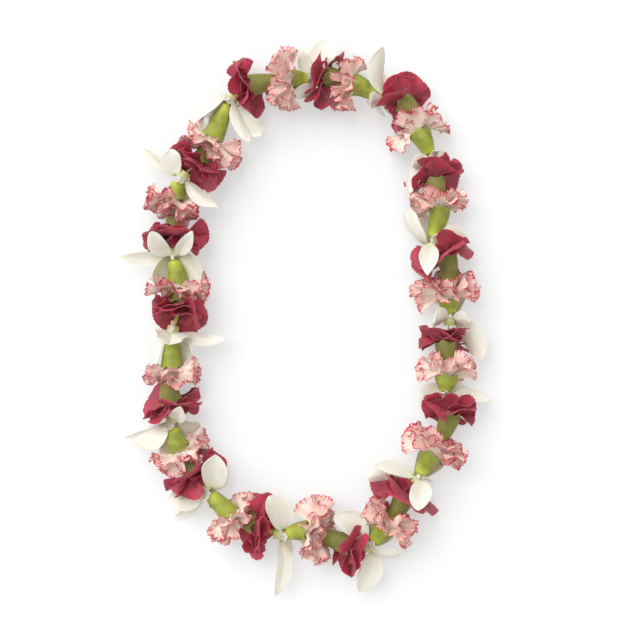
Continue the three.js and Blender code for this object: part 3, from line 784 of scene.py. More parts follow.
@dataclass
class Route:
    """The closed curve of the thread, with the distance along it of every bloom."""

    height: float = 20.0
    steps: int = 80
    knots: Points = field(init=False)
    samples: Points = field(init=False)
    lengths: Points = field(init=False)

    def __post_init__(self) -> None:
        """Samples the curve."""
        tables = (CRIMSON_PLACES, ORCHID_PLACES, PICOTEE_PLACES)
        rows = [tables[n % len(tables)][n // len(tables)] for n in range(BLOOMS)]
        self.knots = np.array([(row[0], row[1], self.height) for row in rows], float)
        shares = np.arange(BLOOMS * self.steps + 1) / self.steps
        self.samples = np.array([self._point(share) for share in shares])
        gaps = np.linalg.norm(np.diff(self.samples, axis=0), axis=1)
        self.lengths = np.concatenate([[0.0], np.cumsum(gaps)])

    @property
    def length(self) -> float:
        """The whole way round."""
        return float(self.lengths[-1])

    def _point(self, share: float) -> Points:
        """Returns the point of the centripetal curve at a bloom number and a part."""
        whole = int(math.floor(share))
        part = share - whole
        p0, p1, p2, p3 = (self.knots[(whole + k) % BLOOMS] for k in (-1, 0, 1, 2))
        d0, d1, d2 = (max(np.linalg.norm(b - a) ** 0.5, 1e-6) for a, b in ((p0, p1), (p1, p2), (p2, p3)))
        t1 = ((p1 - p0) / d0 - (p2 - p0) / (d0 + d1) + (p2 - p1) / d1) * d1
        t2 = ((p2 - p1) / d1 - (p3 - p1) / (d1 + d2) + (p3 - p2) / d2) * d1
        c2 = -3 * p1 + 3 * p2 - 2 * t1 - t2
        c3 = 2 * p1 - 2 * p2 + t1 + t2
        return p1 + t1 * part + c2 * part**2 + c3 * part**3

    def distance_to(self, order: int) -> float:
        """Returns the distance to a bloom, which goes on past the loop's end and before its start."""
        turns, rest = divmod(order, BLOOMS)
        return turns * self.length + float(self.lengths[rest * self.steps])

    def at(self, distance: float) -> Points:
        """Returns the point at a distance."""
        share = np.interp(distance % self.length, self.lengths, np.arange(len(self.lengths)))
        return self._point(float(share) / self.steps)

    def stand(self, distance: float) -> Stand:
        """Returns the stand at a distance, which looks along the thread."""
        return Stand.facing(self.at(distance), self.at(distance + 0.1) - self.at(distance - 0.1))

    def face(self, order: int) -> Stand:
        """Returns the stand of a carnation's mouth, which looks the way that the bloom does."""
        places = CRIMSON_PLACES if Bloom.at(order) is Bloom.CRIMSON else PICOTEE_PLACES
        _, _, heading, lean = places[order // len(Bloom)]
        turn, tip = math.radians(heading), math.radians(lean)
        ahead = np.array([math.cos(tip) * math.cos(turn), math.cos(tip) * math.sin(turn), math.sin(tip)])
        return Stand.facing(self.knots[order], ahead)


class Draws:
    """The same draws in the same order for the same seed."""

    FACTOR = 1664525
    STEP = 1013904223
    RANGE = 2**32
    WARM_UP = 4

    def __init__(self, seed: int) -> None:
        """Starts from a seed."""
        self.state = seed % self.RANGE
        for _ in range(self.WARM_UP):
            self.next(0.0, 1.0)

    def next(self, low: float, high: float) -> float:
        """Returns the next draw between two numbers."""
        self.state = (self.state * self.FACTOR + self.STEP) % self.RANGE
        return low + (high - low) * self.state / self.RANGE


@dataclass
class Yard:
    """What every sub-assembly works with: the route, the floor and the shift to the frame."""

    route: Route
    floor: Floor
    shift: Points
    obstacles: list[tuple[Points, BVHTree]] = field(default_factory=list)

    @classmethod
    def around(cls, low: Vector, high: Vector) -> Yard:
        """Returns the yard whose thread fills a box, given in metres."""
        route = Route()
        middle = (np.array(low) + np.array(high)) / 2 / MILLIMETRE
        own = (route.samples.min(axis=0) + route.samples.max(axis=0)) / 2
        return cls(route, Floor(), middle - own)

    def move(self, mesh: bpy.types.Mesh) -> None:
        """Moves a mesh from the layout's coordinates to the frame's."""
        mesh.transform(Matrix.Translation(Vector(self.shift * MILLIMETRE)))

    def keep_clear_of(self, piece: bpy.types.Object, place: Points) -> None:
        """Makes later blades keep from a finished piece whose middle is at a place."""
        mesh = piece.data
        spots = np.empty(3 * len(mesh.vertices), np.float32)
        mesh.vertices.foreach_get("co", spots)
        spots = spots.reshape(-1, 3) / MILLIMETRE - self.shift
        faces = [tuple(face.vertices) for face in mesh.polygons]
        self.obstacles.append((place, BVHTree.FromPolygons(spots.tolist(), faces)))

    def near(self, place: Points, reach: float = 85.0) -> list[BVHTree]:
        """Returns what a blade at a place may meet."""
        return [tree for middle, tree in self.obstacles if np.linalg.norm(middle - place) < reach]


@dataclass(frozen=True)
class Bending:
    """How a blade is kept from its neighbours: by a turn, and past that by a shorter blade."""

    shares: tuple[float, ...] = (1.0, 0.9, 0.8, 0.68, 0.55)
    turns: tuple[float, ...] = (0, 6, -6, 12, -12, 20, -20, 28, -28, 38)
    columns: int = 7
    rows: int = 6
    free_from: float = 0.16

    def clear(self, blade: dict[str, float], tilt: str, sketch: Callable[..., Points], stand: Stand,
              yard: Yard) -> dict[str, float]:
        """Bends one blade until it crosses nothing, or as little as the steps allow.

        Args:
            blade: The blade's numbers.
            tilt: The name of its tilt among them.
            sketch: Gives the blade's points by numbers, along and across, from its stand.
            stand: Where its bloom stands.
            yard: The layout, with what is there already.

        Returns:
            The blade's numbers, with the tilt and the length at which it crosses least.
        """
        trees = yard.near(stand.place)
        along, across = np.meshgrid(
            np.linspace(self.free_from, 1.0, self.rows), np.linspace(-1.0, 1.0, self.columns), indexing="ij"
        )
        faces = [
            (r * self.columns + c, r * self.columns + c + 1, (r + 1) * self.columns + c + 1,
             (r + 1) * self.columns + c)
            for r in range(self.rows - 1) for c in range(self.columns - 1)
        ]
        best, fewest = blade, math.inf
        for share in self.shares:
            for turn in self.turns:
                bent = {**blade, "length": blade["length"] * share, tilt: blade[tilt] + math.radians(turn)}
                spots = yard.floor.settle(stand.out(sketch(bent, along, across)))
                tree = BVHTree.FromPolygons(spots.reshape(-1, 3).tolist(), faces)
                crossings = sum(len(tree.overlap(other)) for other in trees)
                if crossings < fewest:
                    best, fewest = bent, crossings
                if not crossings:
                    return best
        return best


def dress(piece: bpy.types.Object, slot: str, *nodes: str) -> None:
    """Puts a piece on the one body, hides the CAD nodes that it stands for and logs its faces."""
    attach(piece, "root")
    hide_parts(*nodes)
    LOG.info("%s: %d faces, for %s", piece.name, len(piece.data.polygons), ", ".join(nodes))


def point_cloud(name: str, rows: Sequence[dict[str, float]]) -> bpy.types.Object:
    """Returns an object of loose points, one for each row, which carry the row's numbers."""
    mesh = bpy.data.meshes.new(name)
    mesh.from_pydata([(0.0, 0.0, 0.0)] * len(rows), [], [])
    for key in rows[0]:
        numbers = mesh.attributes.new(key, "FLOAT", "POINT")
        numbers.data.foreach_set("value", np.array([row[key] for row in rows], np.float32))
    return new_object(name, mesh)


class BladeRecipe(Recipe):
    """What petals and tepals share: a grid for each point, placed by a rule and bent on the floor."""

    EXPONENT_LIMIT = 40.0

    def __init__(self, name: str, sizes: dict[str, Any]) -> None:
        """Starts the tree with the blades' grids."""
        stand = {"Place": (0.0, 0.0, 0.0), "Left": (1.0, 0.0, 0.0), "Up": (0.0, 1.0, 0.0),
                 "Ahead": (0.0, 0.0, 1.0)}
        floor = {"Floor Level": Floor.level, "Floor Softness": Floor.softness}
        super().__init__(name, {"Columns": 31, "Rows": 9, **stand, **floor, **sizes})
        self.blades = self.grids()
        self.across = self.read("across")
        self.along = self.read("along")

    def settle(self, left: Value, up: Value, ahead: Value, along: Value) -> None:
        """Places the blades by their own coordinates, bends them on the floor and ends the tree.

        Args:
            left: How far to the left of the stand each point lies.
            up: How far above it.
            ahead: How far ahead of it.
            along: The second coordinate of the blades' map.
        """
        graph = self.graph
        world = graph.total(
            self.link("Place"),
            graph.scaled(self.link("Left"), left),
            graph.scaled(self.link("Up"), up),
            graph.scaled(self.link("Ahead"), ahead),
        )
        split = graph.node("ShaderNodeSeparateXYZ", None, Vector=world)
        level, softness = self.size("Floor Level"), self.size("Floor Softness")
        depth = (graph.value(split, "Z") - level) / softness
        depth = graph.maths("MINIMUM", depth, self.EXPONENT_LIMIT)
        lifted = graph.maths("LOGARITHM", graph.maths("EXPONENT", depth) + 1.0, math.e)
        height = level + softness * lifted
        height = graph.maths("MAXIMUM", height, graph.value(split, "Z"))
        place = graph.vector(graph.value(split, "X"), graph.value(split, "Y"), height)
        self.lay(self.blades, place, Sheet.BLADE, graph.vector(self.across * 0.5 + 0.5, along, 0.0))

    def grow(self, name: str, rows: Sequence[dict[str, float]], stand: Stand, yard: Yard,
             material: bpy.types.Material, thickness: float, **sizes: Any) -> bpy.types.Object:
        """Grows the blades of one bloom.

        Args:
            name: The new piece's name.
            rows: The numbers of each blade.
            stand: Where the bloom stands.
            yard: The layout.
            material: What the blades are made of.
            thickness: How thick they are.
            **sizes: Other named inputs of the tree.

        Returns:
            The piece as a plain mesh.
        """
        owner = point_cloud(name + "_points", rows)
        self.run(
            owner, material, Place=tuple(stand.place), Left=tuple(stand.left), Up=tuple(stand.up),
            Ahead=tuple(stand.ahead), Floor_Level=yard.floor.level,
            Floor_Softness=yard.floor.softness, **sizes,
        )
        thicken(owner, thickness)
        made = baked(owner, name)
        yard.move(made.data)
        return made


# ---- Carnations ----


@dataclass(frozen=True)
class Whorl:
    """Petals of one rank: their length, their angle from the bloom's axis and how far they curl."""

    length: float
    tilt: float
    curl: float = 30.0


@dataclass
class Carnation:
    """A carnation's petals: claws in the calyx, then broad fans with ruffled, toothed margins.

    Attributes:
        tones: Each bloom's brightness, from 0 to 1, which also sets how much painted highlight a crimson
            bloom gets and how strong a picotee bloom's pink clouds, partly painted warm shade, are.
        nods: How far each bloom's upper petals lean ahead, in degrees.
        sizes: Each bloom's size as a share of its kind's.
        root_share: Half the width of a claw as a share of its distance from the axis.
        between_turn: How far the second rank is turned from the first, in degrees.
        heart_turn: How far the heart is turned from the first rank, in degrees.
        heart_spread: How far the heart's petals differ in tilt, in degrees.
        heart_nod: The share of the nod that the heart gets, as the next two are of ruffle and root.
        same_way: The share of petals that twist the same way.
    """

    kind: Bloom
    name: str
    slot: str
    seed: int
    material: bpy.types.Material
    outer: Whorl
    middle: Whorl
    inner: Whorl
    heart: Whorl
    waves: float
    ruffle: float
    tooth_depth: float
    frill: float
    tones: tuple[float, ...]
    nods: tuple[float, ...]
    sizes: tuple[float, ...]
    fan_angle: float = 50.0
    twist: float = 44.0
    roll: float = 0.12
    petals: int = 7
    between_petals: int = 5
    heart_petals: int = 8
    thickness: float = 0.35
    rim_radius: float = 5.3
    reach: float = 5.3
    bend: float = 7.0
    root_tilt: float = 1.0
    root_share: float = 0.26
    claw_height: float = 2.5
    between_turn: float = 51.0
    heart_turn: float = 24.0
    heart_spread: float = 14.0
    heart_nod: float = 0.3
    heart_ruffle: float = 0.8
    heart_root: float = 0.55
    same_way: float = 0.75

    def draw_petals(self, number: int, stand: Stand, floor: Floor) -> list[dict[str, float]]:
        """Draws the petals of one bloom.

        Args:
            number: The bloom's number in its kind, from 0.
            stand: Where its mouth is.
            floor: The surface that its lower petals meet.

        Returns:
            The numbers of each petal.
        """
        draws = Draws(self.seed + number)
        turn = draws.next(0.0, 360.0)
        total = self.petals + self.between_petals + self.heart_petals
        rows = []
        for i in range(total):
            in_heart = i >= self.petals + self.between_petals
            between = i >= self.petals and not in_heart
            count = self.heart_petals if in_heart else self.between_petals if between else self.petals
            whorl = (self.outer, self.inner)[i % 2]
            if in_heart:
                whorl = self.heart
            elif between or i == self.petals - 1:
                whorl = self.middle
            offset = self.heart_turn if in_heart else self.between_turn if between else 0.0
            azimuth = turn + i * 360.0 / count + draws.next(-4.0, 4.0) + offset
            length = whorl.length * self.sizes[number] * draws.next(0.93, 1.05)
            fan = self.fan_angle * draws.next(0.9, 1.0)
            phase = draws.next(-0.6, 0.6) + i * math.pi
            ruffle = self.ruffle * draws.next(0.8, 1.2)
            spread = self.heart_spread * (i % 3 - 1) if in_heart else 0.0
            tilt = whorl.tilt + draws.next(-8.0, 8.0) + spread
            upward = max(math.cos(math.radians(azimuth)), 0.0)
            nod_share = self.heart_nod if in_heart else 1.0
            tilt -= self.nods[number] * upward * draws.next(0.5, 1.3) * nod_share
            tilt = floor.reachable(tilt, azimuth, length + self.reach, stand)
            twist = self.twist * draws.next(0.8, 1.3)
            twist *= 1.0 if draws.next(0.0, 1.0) < self.same_way else -1.0
            aside = math.sin(math.radians(azimuth))
            rows.append(
                {
                    "azimuth": math.radians(azimuth), "length": length, "fan": math.radians(fan),
                    "phase": phase, "ruffle": ruffle * (self.heart_ruffle if in_heart else 1.0),
                    "tilt": math.radians(tilt), "number": float(i + total * number),
                    "tone": self.tones[number],
                    "twist": math.radians(twist * math.copysign(math.sqrt(abs(aside)), aside)),
                    "root": self.rim_radius * (self.heart_root if in_heart else 1.0),
                    "curl": math.radians(whorl.curl * (1.0 + 0.3 * math.sin(2.1 * i + number))),
                }
            )
        return rows

    def sketch(self, petal: dict[str, float], along: Points, across: Points) -> Points:
        """Returns points of a petal's middle surface, from its stand, without frills."""
        spread = petal["fan"] * across
        wide = across * petal["root"] * self.root_share + along * petal["length"] * np.sin(spread)
        high = petal["ruffle"] * along**2 * np.cos(self.waves * np.pi * across + petal["phase"])
        high = high + self.roll * along * wide
        eased = np.clip(along / 0.5, 0.0, 1.0)
        twist = petal["twist"] * eased**2 * (3.0 - 2.0 * eased)
        sideways = wide * np.cos(twist) - high * np.sin(twist)
        lift = wide * np.sin(twist) + high * np.cos(twist)
        distance = along * petal["length"] * np.cos(spread)
        bent = np.clip(distance / self.bend, 0.0, 1.0)
        start = petal["tilt"] - petal["curl"] / 2
        mean = self.root_tilt + (start - self.root_tilt) * 0.5 * bent**2 * (2.0 - bent)
        turn = petal["curl"] / (petal["length"] - self.bend)
        end = start + turn * np.maximum(distance - self.bend, 0.0)
        radius = petal["root"] + np.sin(mean) * bent * self.bend + (np.cos(start) - np.cos(end)) / turn
        height = self.claw_height + np.cos(mean) * bent * self.bend
        height = height + (np.sin(end) - np.sin(start)) / turn
        outward = radius - lift * np.cos(end)
        azimuth = petal["azimuth"]
        return np.stack(
            [
                outward * np.sin(azimuth) + sideways * np.cos(azimuth),
                outward * np.cos(azimuth) - sideways * np.sin(azimuth),
                height + lift * np.sin(end),
            ],
            axis=-1,
        )

    def build(self, recipe: PetalRecipe, yard: Yard) -> None:
        bending = Bending()
        for i in range(REPEATS):
            stand = yard.route.face(len(Bloom) * i + self.kind.value)
            rows = [
                bending.clear(petal, "tilt", self.sketch, stand, yard)
                for petal in self.draw_petals(i, stand, yard.floor)
            ]
            name = f"{self.name}_bloom_{i + 1:02d}"
            piece = recipe.grow(
                name, rows, stand, yard, self.material, self.thickness, Waves=self.waves,
                Roll=self.roll, Tooth_Depth=self.tooth_depth, Frill=self.frill, Seed=self.seed + i,
                Rim_Height=self.claw_height, Root_Tilt=self.root_tilt, Bend=self.bend,
            )
            yard.keep_clear_of(piece, stand.place)
            dress(piece, self.slot, f"{self.name}_petals_{i + 1:02d}")


class PetalRecipe(BladeRecipe):
    """The rule of a carnation petal: a fan on a bent midline, with waves, frills and teeth."""

    MARGIN_CROWDING = 1.35
    TEETH_FROM = 0.72
    SHOULDER = 0.10
    NUMBER_STRIDE = 131.0

    def __init__(self) -> None:
        """Builds the tree."""
        super().__init__(
            "carnation_petals",
            {
                "Rim Height": 2.5, "Claw Foot": -2.3, "Claw Share": 0.12, "Root Half Angle": 0.262,
                "Root Tilt": 1.0, "Bend": 7.0, "Waves": 2.0, "Roll": 0.12, "Tooth Depth": 0.05,
                "Frill": 0.22, "Crumple": 0.7, "Seed": 0,
            },
        )
        graph = self.graph
        claw_share = self.size("Claw Share")
        claw = (self.along / claw_share).clamped()
        eased = 1.0 - (1.0 - self.along) ** self.MARGIN_CROWDING
        along = ((eased - claw_share) / (1.0 - claw_share)).clamped()
        across, length, phase = self.across, self.read("length"), self.read("phase")
        column = graph.maths("ROUND", (across * 0.5 + 0.5) * (self.size("Columns") - 1.0))
        uneven = graph.value(
            graph.node(
                "FunctionNodeRandomValue", {"data_type": "FLOAT"}, Min=0.25, Max=1.0,
                ID=column + self.read("number") * self.NUMBER_STRIDE, Seed=self.link("Seed"),
            )
        )
        tooth = graph.maths("MODULO", column, 2.0) * uneven
        lobe = graph.noise(graph.vector(across * 1.7, self.read("number") * 2.3, 0.0), 1.0, 1.0)
        margin = along.eased(self.TEETH_FROM, 1.0)
        cut = self.size("Tooth Depth") * (tooth + 1.6 * (lobe - 0.35)) * margin
        shoulder = self.SHOULDER * across**6.0 * along
        run = along * (1.0 - cut - shoulder)
        spread = self.read("fan") * across
        root_width = self.read("root") * self.size("Root Half Angle").sin()
        sideways = across * root_width + run * length * spread.sin()
        wave = (self.size("Waves") * math.pi * across + phase).cos()
        frill = (3.0 * self.size("Waves") * math.pi * across + 2.3 * phase).cos()
        noise_at = graph.vector(sideways * 0.22, run * length * 0.16, self.read("number") * 4.1)
        crumple = graph.noise(noise_at, 1.0, 2.0) - 0.5
        ruffle = self.read("ruffle")
        lift = ruffle * along**2.0 * wave + ruffle * self.size("Frill") * along**5.0 * frill
        lift = lift + self.size("Roll") * along * sideways
        lift = lift + self.size("Crumple") * 2.0 * crumple * along.eased(0.1, 0.6)
        twist = self.read("twist") * along.eased(0.0, 0.5)
        sideways, lift = (
            sideways * twist.cos() - lift * twist.sin(), sideways * twist.sin() + lift * twist.cos()
        )
        distance = run * length * spread.cos()
        radius, height, angle = self.midline(distance)
        outward = radius - lift * angle.cos()
        ahead = height + lift * angle.sin()
        ahead = ahead - (1.0 - claw) * (self.size("Rim Height") - self.size("Claw Foot"))
        azimuth = self.read("azimuth")
        left = outward * azimuth.sin() + sideways * azimuth.cos()
        up = outward * azimuth.cos() - sideways * azimuth.sin()
        self.settle(left, up, ahead, along)

    def midline(self, distance: Value) -> tuple[Value, Value, Value]:
        """Returns the radius, height and angle of a petal's midline at a distance along it.

        The midline bends from the root's tilt over its first stretch, and then curls evenly, so
        that its middle has the petal's own tilt.
        """
        bend, root, curl = self.size("Bend"), self.size("Root Tilt"), self.read("curl")
        start = self.read("tilt") - curl * 0.5
        share = (distance / bend).clamped()
        mean = root + (start - root) * 0.5 * share * share * (2.0 - share)
        turn = curl / (self.read("length") - bend)
        past = self.graph.maths("MAXIMUM", distance - bend, 0.0)
        angle = root + (start - root) * share * share * (3.0 - 2.0 * share) + turn * past
        end = start + turn * past
        within = share * bend
        radius = self.read("root") + mean.sin() * within + (start.cos() - end.cos()) / turn
        height = self.size("Rim Height") + mean.cos() * within + (end.sin() - start.sin()) / turn
        return radius, height, angle


# ---- Orchids ----

DROOP_FROM = 0.3  # the share of a tepal's length at which it has its own tilt
LEAN_FROM, LEAN_TO = 32.0, 68.0  # between these tilts, in degrees, tepals turn ever more face up
LEAST_TURN = 0.4  # the share of that turn which every tepal gets


@dataclass(frozen=True)
class TepalForm:
    """The outline of one kind of tepal.

    Attributes:
        length: From the heart to the tip.
        half_width: Half the width where it is widest.
        droop: How far it bends back, in degrees, over its length.
        base: Its width at the root as a share of the widest.
        peak: Where along it is widest.
        bulge: How full the outline stays past its widest.
        point: How pointed the tip is: 0.5 is round and 1 is pointed.
        waist: How far the outline is drawn in at its middle, as on a lobed lip.
    """

    length: float
    half_width: float
    droop: float
    base: float
    peak: float
    bulge: float
    point: float
    waist: float = 0.0


@dataclass
class Orchids:
    """The fifteen white orchids: five tepals, a lobed lip, a throat and a column."""

    material: bpy.types.Material
    sepal: TepalForm = TepalForm(38, 6.3, 16, 0.42, 0.52, 2.0, 0.9)
    petal: TepalForm = TepalForm(35, 9.6, 24, 0.24, 0.60, 2.2, 0.7)
    lip: TepalForm = TepalForm(11, 3.6, 50, 0.6, 0.45, 2.2, 0.7, 0.2)
    lip_tilt: float = 30.0
    cupped_below: float = 48.0
    cupped_droop: float = -30.0
    thickness: float = 0.7
    tube_depth: float = 4.0
    tube_foot: float = 4.6
    tube_rim: float = 5.1
    tube_height: float = 1.5
    tube_wall: float = 0.5
    pedicel_length: float = 10.0
    pedicel_radius: float = 1.5
    pedicel_lean: float = 56.0
    pedicel_on: int = 3
    ahead_below: float = 60.0
    room_past: float = 2.0
    face_up: float = 0.75
    hollow: float = 0.26
    start: float = 3.0
    rise: float = 1.0
    numbers_apart: int = 10
    tube_sides: int = 30
    column_radius: float = 1.25
    column_swell: float = 0.35
    column_tip: float = 0.55
    column_length: float = 5.5

    def draw_tepals(self, number: int, stand: Stand, room: float, floor: Floor) -> list[dict[str, float]]:
        """Works out the tepals of one orchid, with the lip in the widest gap between two of them.

        Args:
            number: The orchid's number, from 0.
            stand: Where its heart is.
            room: How far a tepal that points ahead may reach.
            floor: The surface that the lower tepals meet.

        Returns:
            The numbers of each tepal.
        """
        forms = [self.sepal, self.petal, self.sepal, self.sepal, self.petal]
        blades = []
        for form, (azimuth, tilt, *shares) in zip(forms, ORCHID_PLACES[number][2]):
            length_share, width_share = (*shares, 1.0, 1.0)[:2]
            stop = room / math.cos(math.radians(tilt)) if tilt < self.ahead_below else math.inf
            length = min(form.length * length_share, stop)
            form = replace(form, length=length, half_width=form.half_width * width_share)
            blades.append((azimuth % 360.0, tilt, form))
        blades.sort(key=lambda blade: blade[0])
        gaps = [blades[i][0] - blades[i - 1][0] + (0.0 if i else 360.0) for i in range(len(blades))]
        widest = gaps.index(max(gaps))
        lip_azimuth = blades[widest][0] - gaps[widest] / 2
        blades.insert(widest, (lip_azimuth, self.lip_tilt, self.lip))
        spacing = 360.0 / len(blades)
        offset = sum(blade[0] - i * spacing for i, blade in enumerate(blades)) / len(blades)
        rows = []
        for i, (azimuth, tilt, form) in enumerate(blades):
            level = floor.reachable(tilt, azimuth, form.length + self.start, stand)
            cupped = tilt < self.cupped_below and form is not self.lip
            droop = self.cupped_droop if cupped else form.droop
            rows.append(
                {
                    "turn": math.radians(azimuth), "level": math.radians(level), "length": form.length,
                    "half_width": form.half_width, "droop": math.radians(droop),
                    "root_turn": math.radians(offset + i * spacing), "base": form.base,
                    "peak": form.peak, "bulge": form.bulge, "point": form.point,
                    "waist": form.waist, "number": float(i + self.numbers_apart * number),
                }
            )
        return rows

    def sketch(self, tepal: dict[str, float], along: Points, across: Points) -> Points:
        """Returns points of a tepal's middle surface, from its stand, without its flutter."""
        angle = tepal["level"] + tepal["droop"] * (along - DROOP_FROM)
        side = -1.0 if math.cos(tepal["level"]) * math.cos(tepal["turn"]) > 1e-5 else 1.0
        lean = (math.degrees(tepal["level"]) - LEAN_FROM) / (LEAN_TO - LEAN_FROM)
        lean = min(max(lean, 0.0), 1.0)
        turned = LEAST_TURN + (1.0 - LEAST_TURN) * lean * lean * (3.0 - 2.0 * lean)
        face_up = self.face_up * turned
        facing = -np.cos(angle) * np.cos(tepal["turn"]) * side
        twist = face_up * np.arctan2(np.sin(tepal["turn"]) * side, facing)
        outline = np.clip(1.6 * along, 0.3, 1.0)
        wide = across * tepal["half_width"] * outline * np.sqrt(1.0 - 0.9 * along**6)
        hollow = self.hollow * wide**2 / tepal["half_width"]
        sideways = wide * np.cos(twist) - hollow * np.sin(twist)
        inward = wide * np.sin(twist) + hollow * np.cos(twist)
        outward = self.start + tepal["length"] * along * np.sin(angle) - inward * np.cos(angle)
        ahead = self.rise + tepal["length"] * along * np.cos(angle) + inward * np.sin(angle)
        return np.stack(
            [
                outward * np.sin(tepal["turn"]) + sideways * np.cos(tepal["turn"]),
                outward * np.cos(tepal["turn"]) - sideways * np.sin(tepal["turn"]),
                ahead,
            ],
            axis=-1,
        )

    def heart(self, number: int, stand: Stand) -> bpy.types.Mesh:
        """Returns the mesh of the throat, the column and, on one orchid, the cut flower stalk."""
        shell = Shell()
        turns = full_turn(self.tube_sides)
        circle = np.stack([np.sin(turns), np.cos(turns), np.zeros(self.tube_sides)], axis=1)[::-1]
        lean = (self.tube_rim - self.tube_foot) / (self.tube_height + self.tube_depth)
        profile = [(self.tube_foot, -self.tube_depth), (self.tube_foot + lean * 2, -self.tube_depth + 2),
                   (self.tube_rim, self.tube_height), (self.tube_rim + 0.25, self.tube_height + 0.9),
                   (self.tube_rim - self.tube_wall, self.tube_height + 0.6),
                   (self.tube_foot - self.tube_wall, -self.tube_depth + 1.2)]
        alongs = [-0.05, 0.0, 0.12, 0.16, 0.1, -0.05]
        rings = [circle * radius + (0.0, 0.0, height) for radius, height in profile]
        shell.add_rings(
            [stand.out(ring) for ring in rings], alongs, float(self.numbers_apart * number)
        )
        column = []
        for share in np.linspace(0.0, 1.0, 7):
            radius = self.column_radius * (1.0 + self.column_swell * math.sin(share * math.pi))
            radius *= 1.0 if share < 1 else self.column_tip
            centre = (0.0, 3.7 + 0.8 * share, self.column_length * share)
            column.append(circle[::3] * radius * (1.0, 0.75, 1.0) + centre)
        shell.add_rings([stand.out(ring) for ring in column], [0.3 * s / 6 for s in range(7)], 1.0)
        if number == self.pedicel_on:
            lean_by = math.radians(self.pedicel_lean)
            stalk = []
            for share in np.linspace(0.0, 1.0, 8):
                radius = self.pedicel_radius + 0.6 * (1 - share) ** 2
                bent = lean_by * (0.8 + 0.2 * share)
                centre = np.array([0.0, self.tube_foot + 0.6 + math.sin(bent) * self.pedicel_length * share,
                                   -1.5 - math.cos(bent) * self.pedicel_length * share])
                spin = np.array([(x, y * math.cos(bent), y * math.sin(bent)) for x, y, _ in circle[::2]])
                stalk.append(centre + spin * radius)
            shell.add_rings([stand.out(ring) for ring in stalk], list(np.linspace(1.4, 2.2, 8)), 2.0)
        mesh = shell.to_mesh("orchid_heart", Sheet.BLADE, "number")
        mesh.materials.append(self.material)
        return mesh

    def build(self, recipe: TepalRecipe, yard: Yard) -> None:
        bending = Bending()
        for i in range(REPEATS):
            order = len(Bloom) * i + Bloom.ORCHID.value
            here, ahead = yard.route.distance_to(order), yard.route.distance_to(order + 1)
            stand = yard.route.stand(here)
            room = ahead - here + self.room_past
            rows = [
                bending.clear(tepal, "level", self.sketch, stand, yard)
                for tepal in self.draw_tepals(i, stand, room, yard.floor)
            ]
            name = f"orchid_bloom_{i + 1:02d}"
            piece = recipe.grow(
                name, rows, stand, yard, self.material, self.thickness, Columns=11, Rows=20,
                Tube_Radius=self.tube_rim, Tube_Height=self.tube_height, Face_Up=self.face_up,
                Hollow=self.hollow, Start=self.start, Rise=self.rise,
            )
            heart = new_object(name + "_heart", self.heart(i, stand))
            yard.move(heart.data)
            join(piece, heart)
            yard.keep_clear_of(piece, stand.place)
            dress(piece, "orchid_petal", f"orchid_{i + 1:02d}")


class TepalRecipe(BladeRecipe):
    """The rule of an orchid's tepal: a hollowed blade that grows from the rim of the throat."""

    TIP_CROWDING = 1.5

    def __init__(self) -> None:
        """Builds the tree."""
        super().__init__(
            "orchid_tepals",
            {
                "Tube Radius": 5.1, "Tube Height": 1.5, "Root Half Angle": 0.349, "Face Up": 0.75,
                "Hollow": 0.26, "Flutter": 1.6, "Start": 3.0, "Rise": 1.0, "Midrib": 0.5,
            },
        )
        graph = self.graph
        along = 1.0 - (1.0 - self.along) ** self.TIP_CROWDING
        turn, length = self.read("turn"), self.read("length")
        angle = self.read("level") + self.read("droop") * (along - DROOP_FROM)
        reach = length * along
        level = self.read("level")
        side = graph.maths("SIGN", 1e-5 - level.cos() * turn.cos())
        lean = level.eased(math.radians(LEAN_FROM), math.radians(LEAN_TO))
        face_up = self.size("Face Up") * (LEAST_TURN + (1.0 - LEAST_TURN) * lean)
        twist = face_up * graph.maths("ARCTAN2", turn.sin() * side, -(angle.cos() * turn.cos()) * side)
        half_width = self.read("half_width")
        uneven = 1.0 + 0.05 * (along * 7.0 + self.across * 2.0 + self.read("number") * 1.7).sin()
        wide = self.across * self.outline(along) * half_width * uneven
        hollow = self.size("Hollow") * wide * wide / half_width
        flutter = (along * 9.0 + self.across * 1.4 + self.read("number") * 2.1).sin()
        hollow = hollow + self.size("Flutter") * flutter * self.across**2.0 * along * half_width / 12.0
        crease = (1.0 - (self.across.size() * 3.5).clamped()) * (1.0 - along.eased(0.6, 0.95))
        hollow = hollow - self.size("Midrib") * crease * along.eased(0.05, 0.25)
        sideways = wide * twist.cos() - hollow * twist.sin()
        inward = wide * twist.sin() + hollow * twist.cos()
        outward = self.size("Start") + reach * angle.sin() - inward * angle.cos()
        ahead = self.size("Rise") + reach * angle.cos() + inward * angle.sin()
        left = outward * turn.sin() + sideways * turn.cos()
        up = outward * turn.cos() - sideways * turn.sin()
        root_turn = self.read("root_turn") + self.across * self.size("Root Half Angle")
        root_radius = self.size("Tube Radius")
        share = along.eased(0.0, 0.3)
        left = root_radius * root_turn.sin() * (1.0 - share) + left * share
        up = root_radius * root_turn.cos() * (1.0 - share) + up * share
        ahead = self.size("Tube Height") * (1.0 - share) + ahead * share
        self.settle(left, up, ahead, along)

    def outline(self, along: Value) -> Value:
        """Returns the width along a tepal as a share of its widest."""
        base, peak = self.read("base"), self.read("peak")
        rise = (along / peak).clamped()
        rise = base + (1.0 - base) * rise * (2.0 - rise)
        past = ((along - peak) / (1.0 - peak)).clamped()
        fall = (1.02 - past ** self.read("bulge")) ** self.read("point")
        waist = 1.0 - self.read("waist") * ((along - 0.58) * 9.0).cos().clamped()
        return rise * fall * waist


def join(piece: bpy.types.Object, other: bpy.types.Object) -> None:
    """Adds another object's mesh to a piece and removes it."""
    with bpy.context.temp_override(
        active_object=piece, object=piece, selected_objects=[piece, other],
        selected_editable_objects=[piece, other],
    ):
        bpy.ops.object.join()


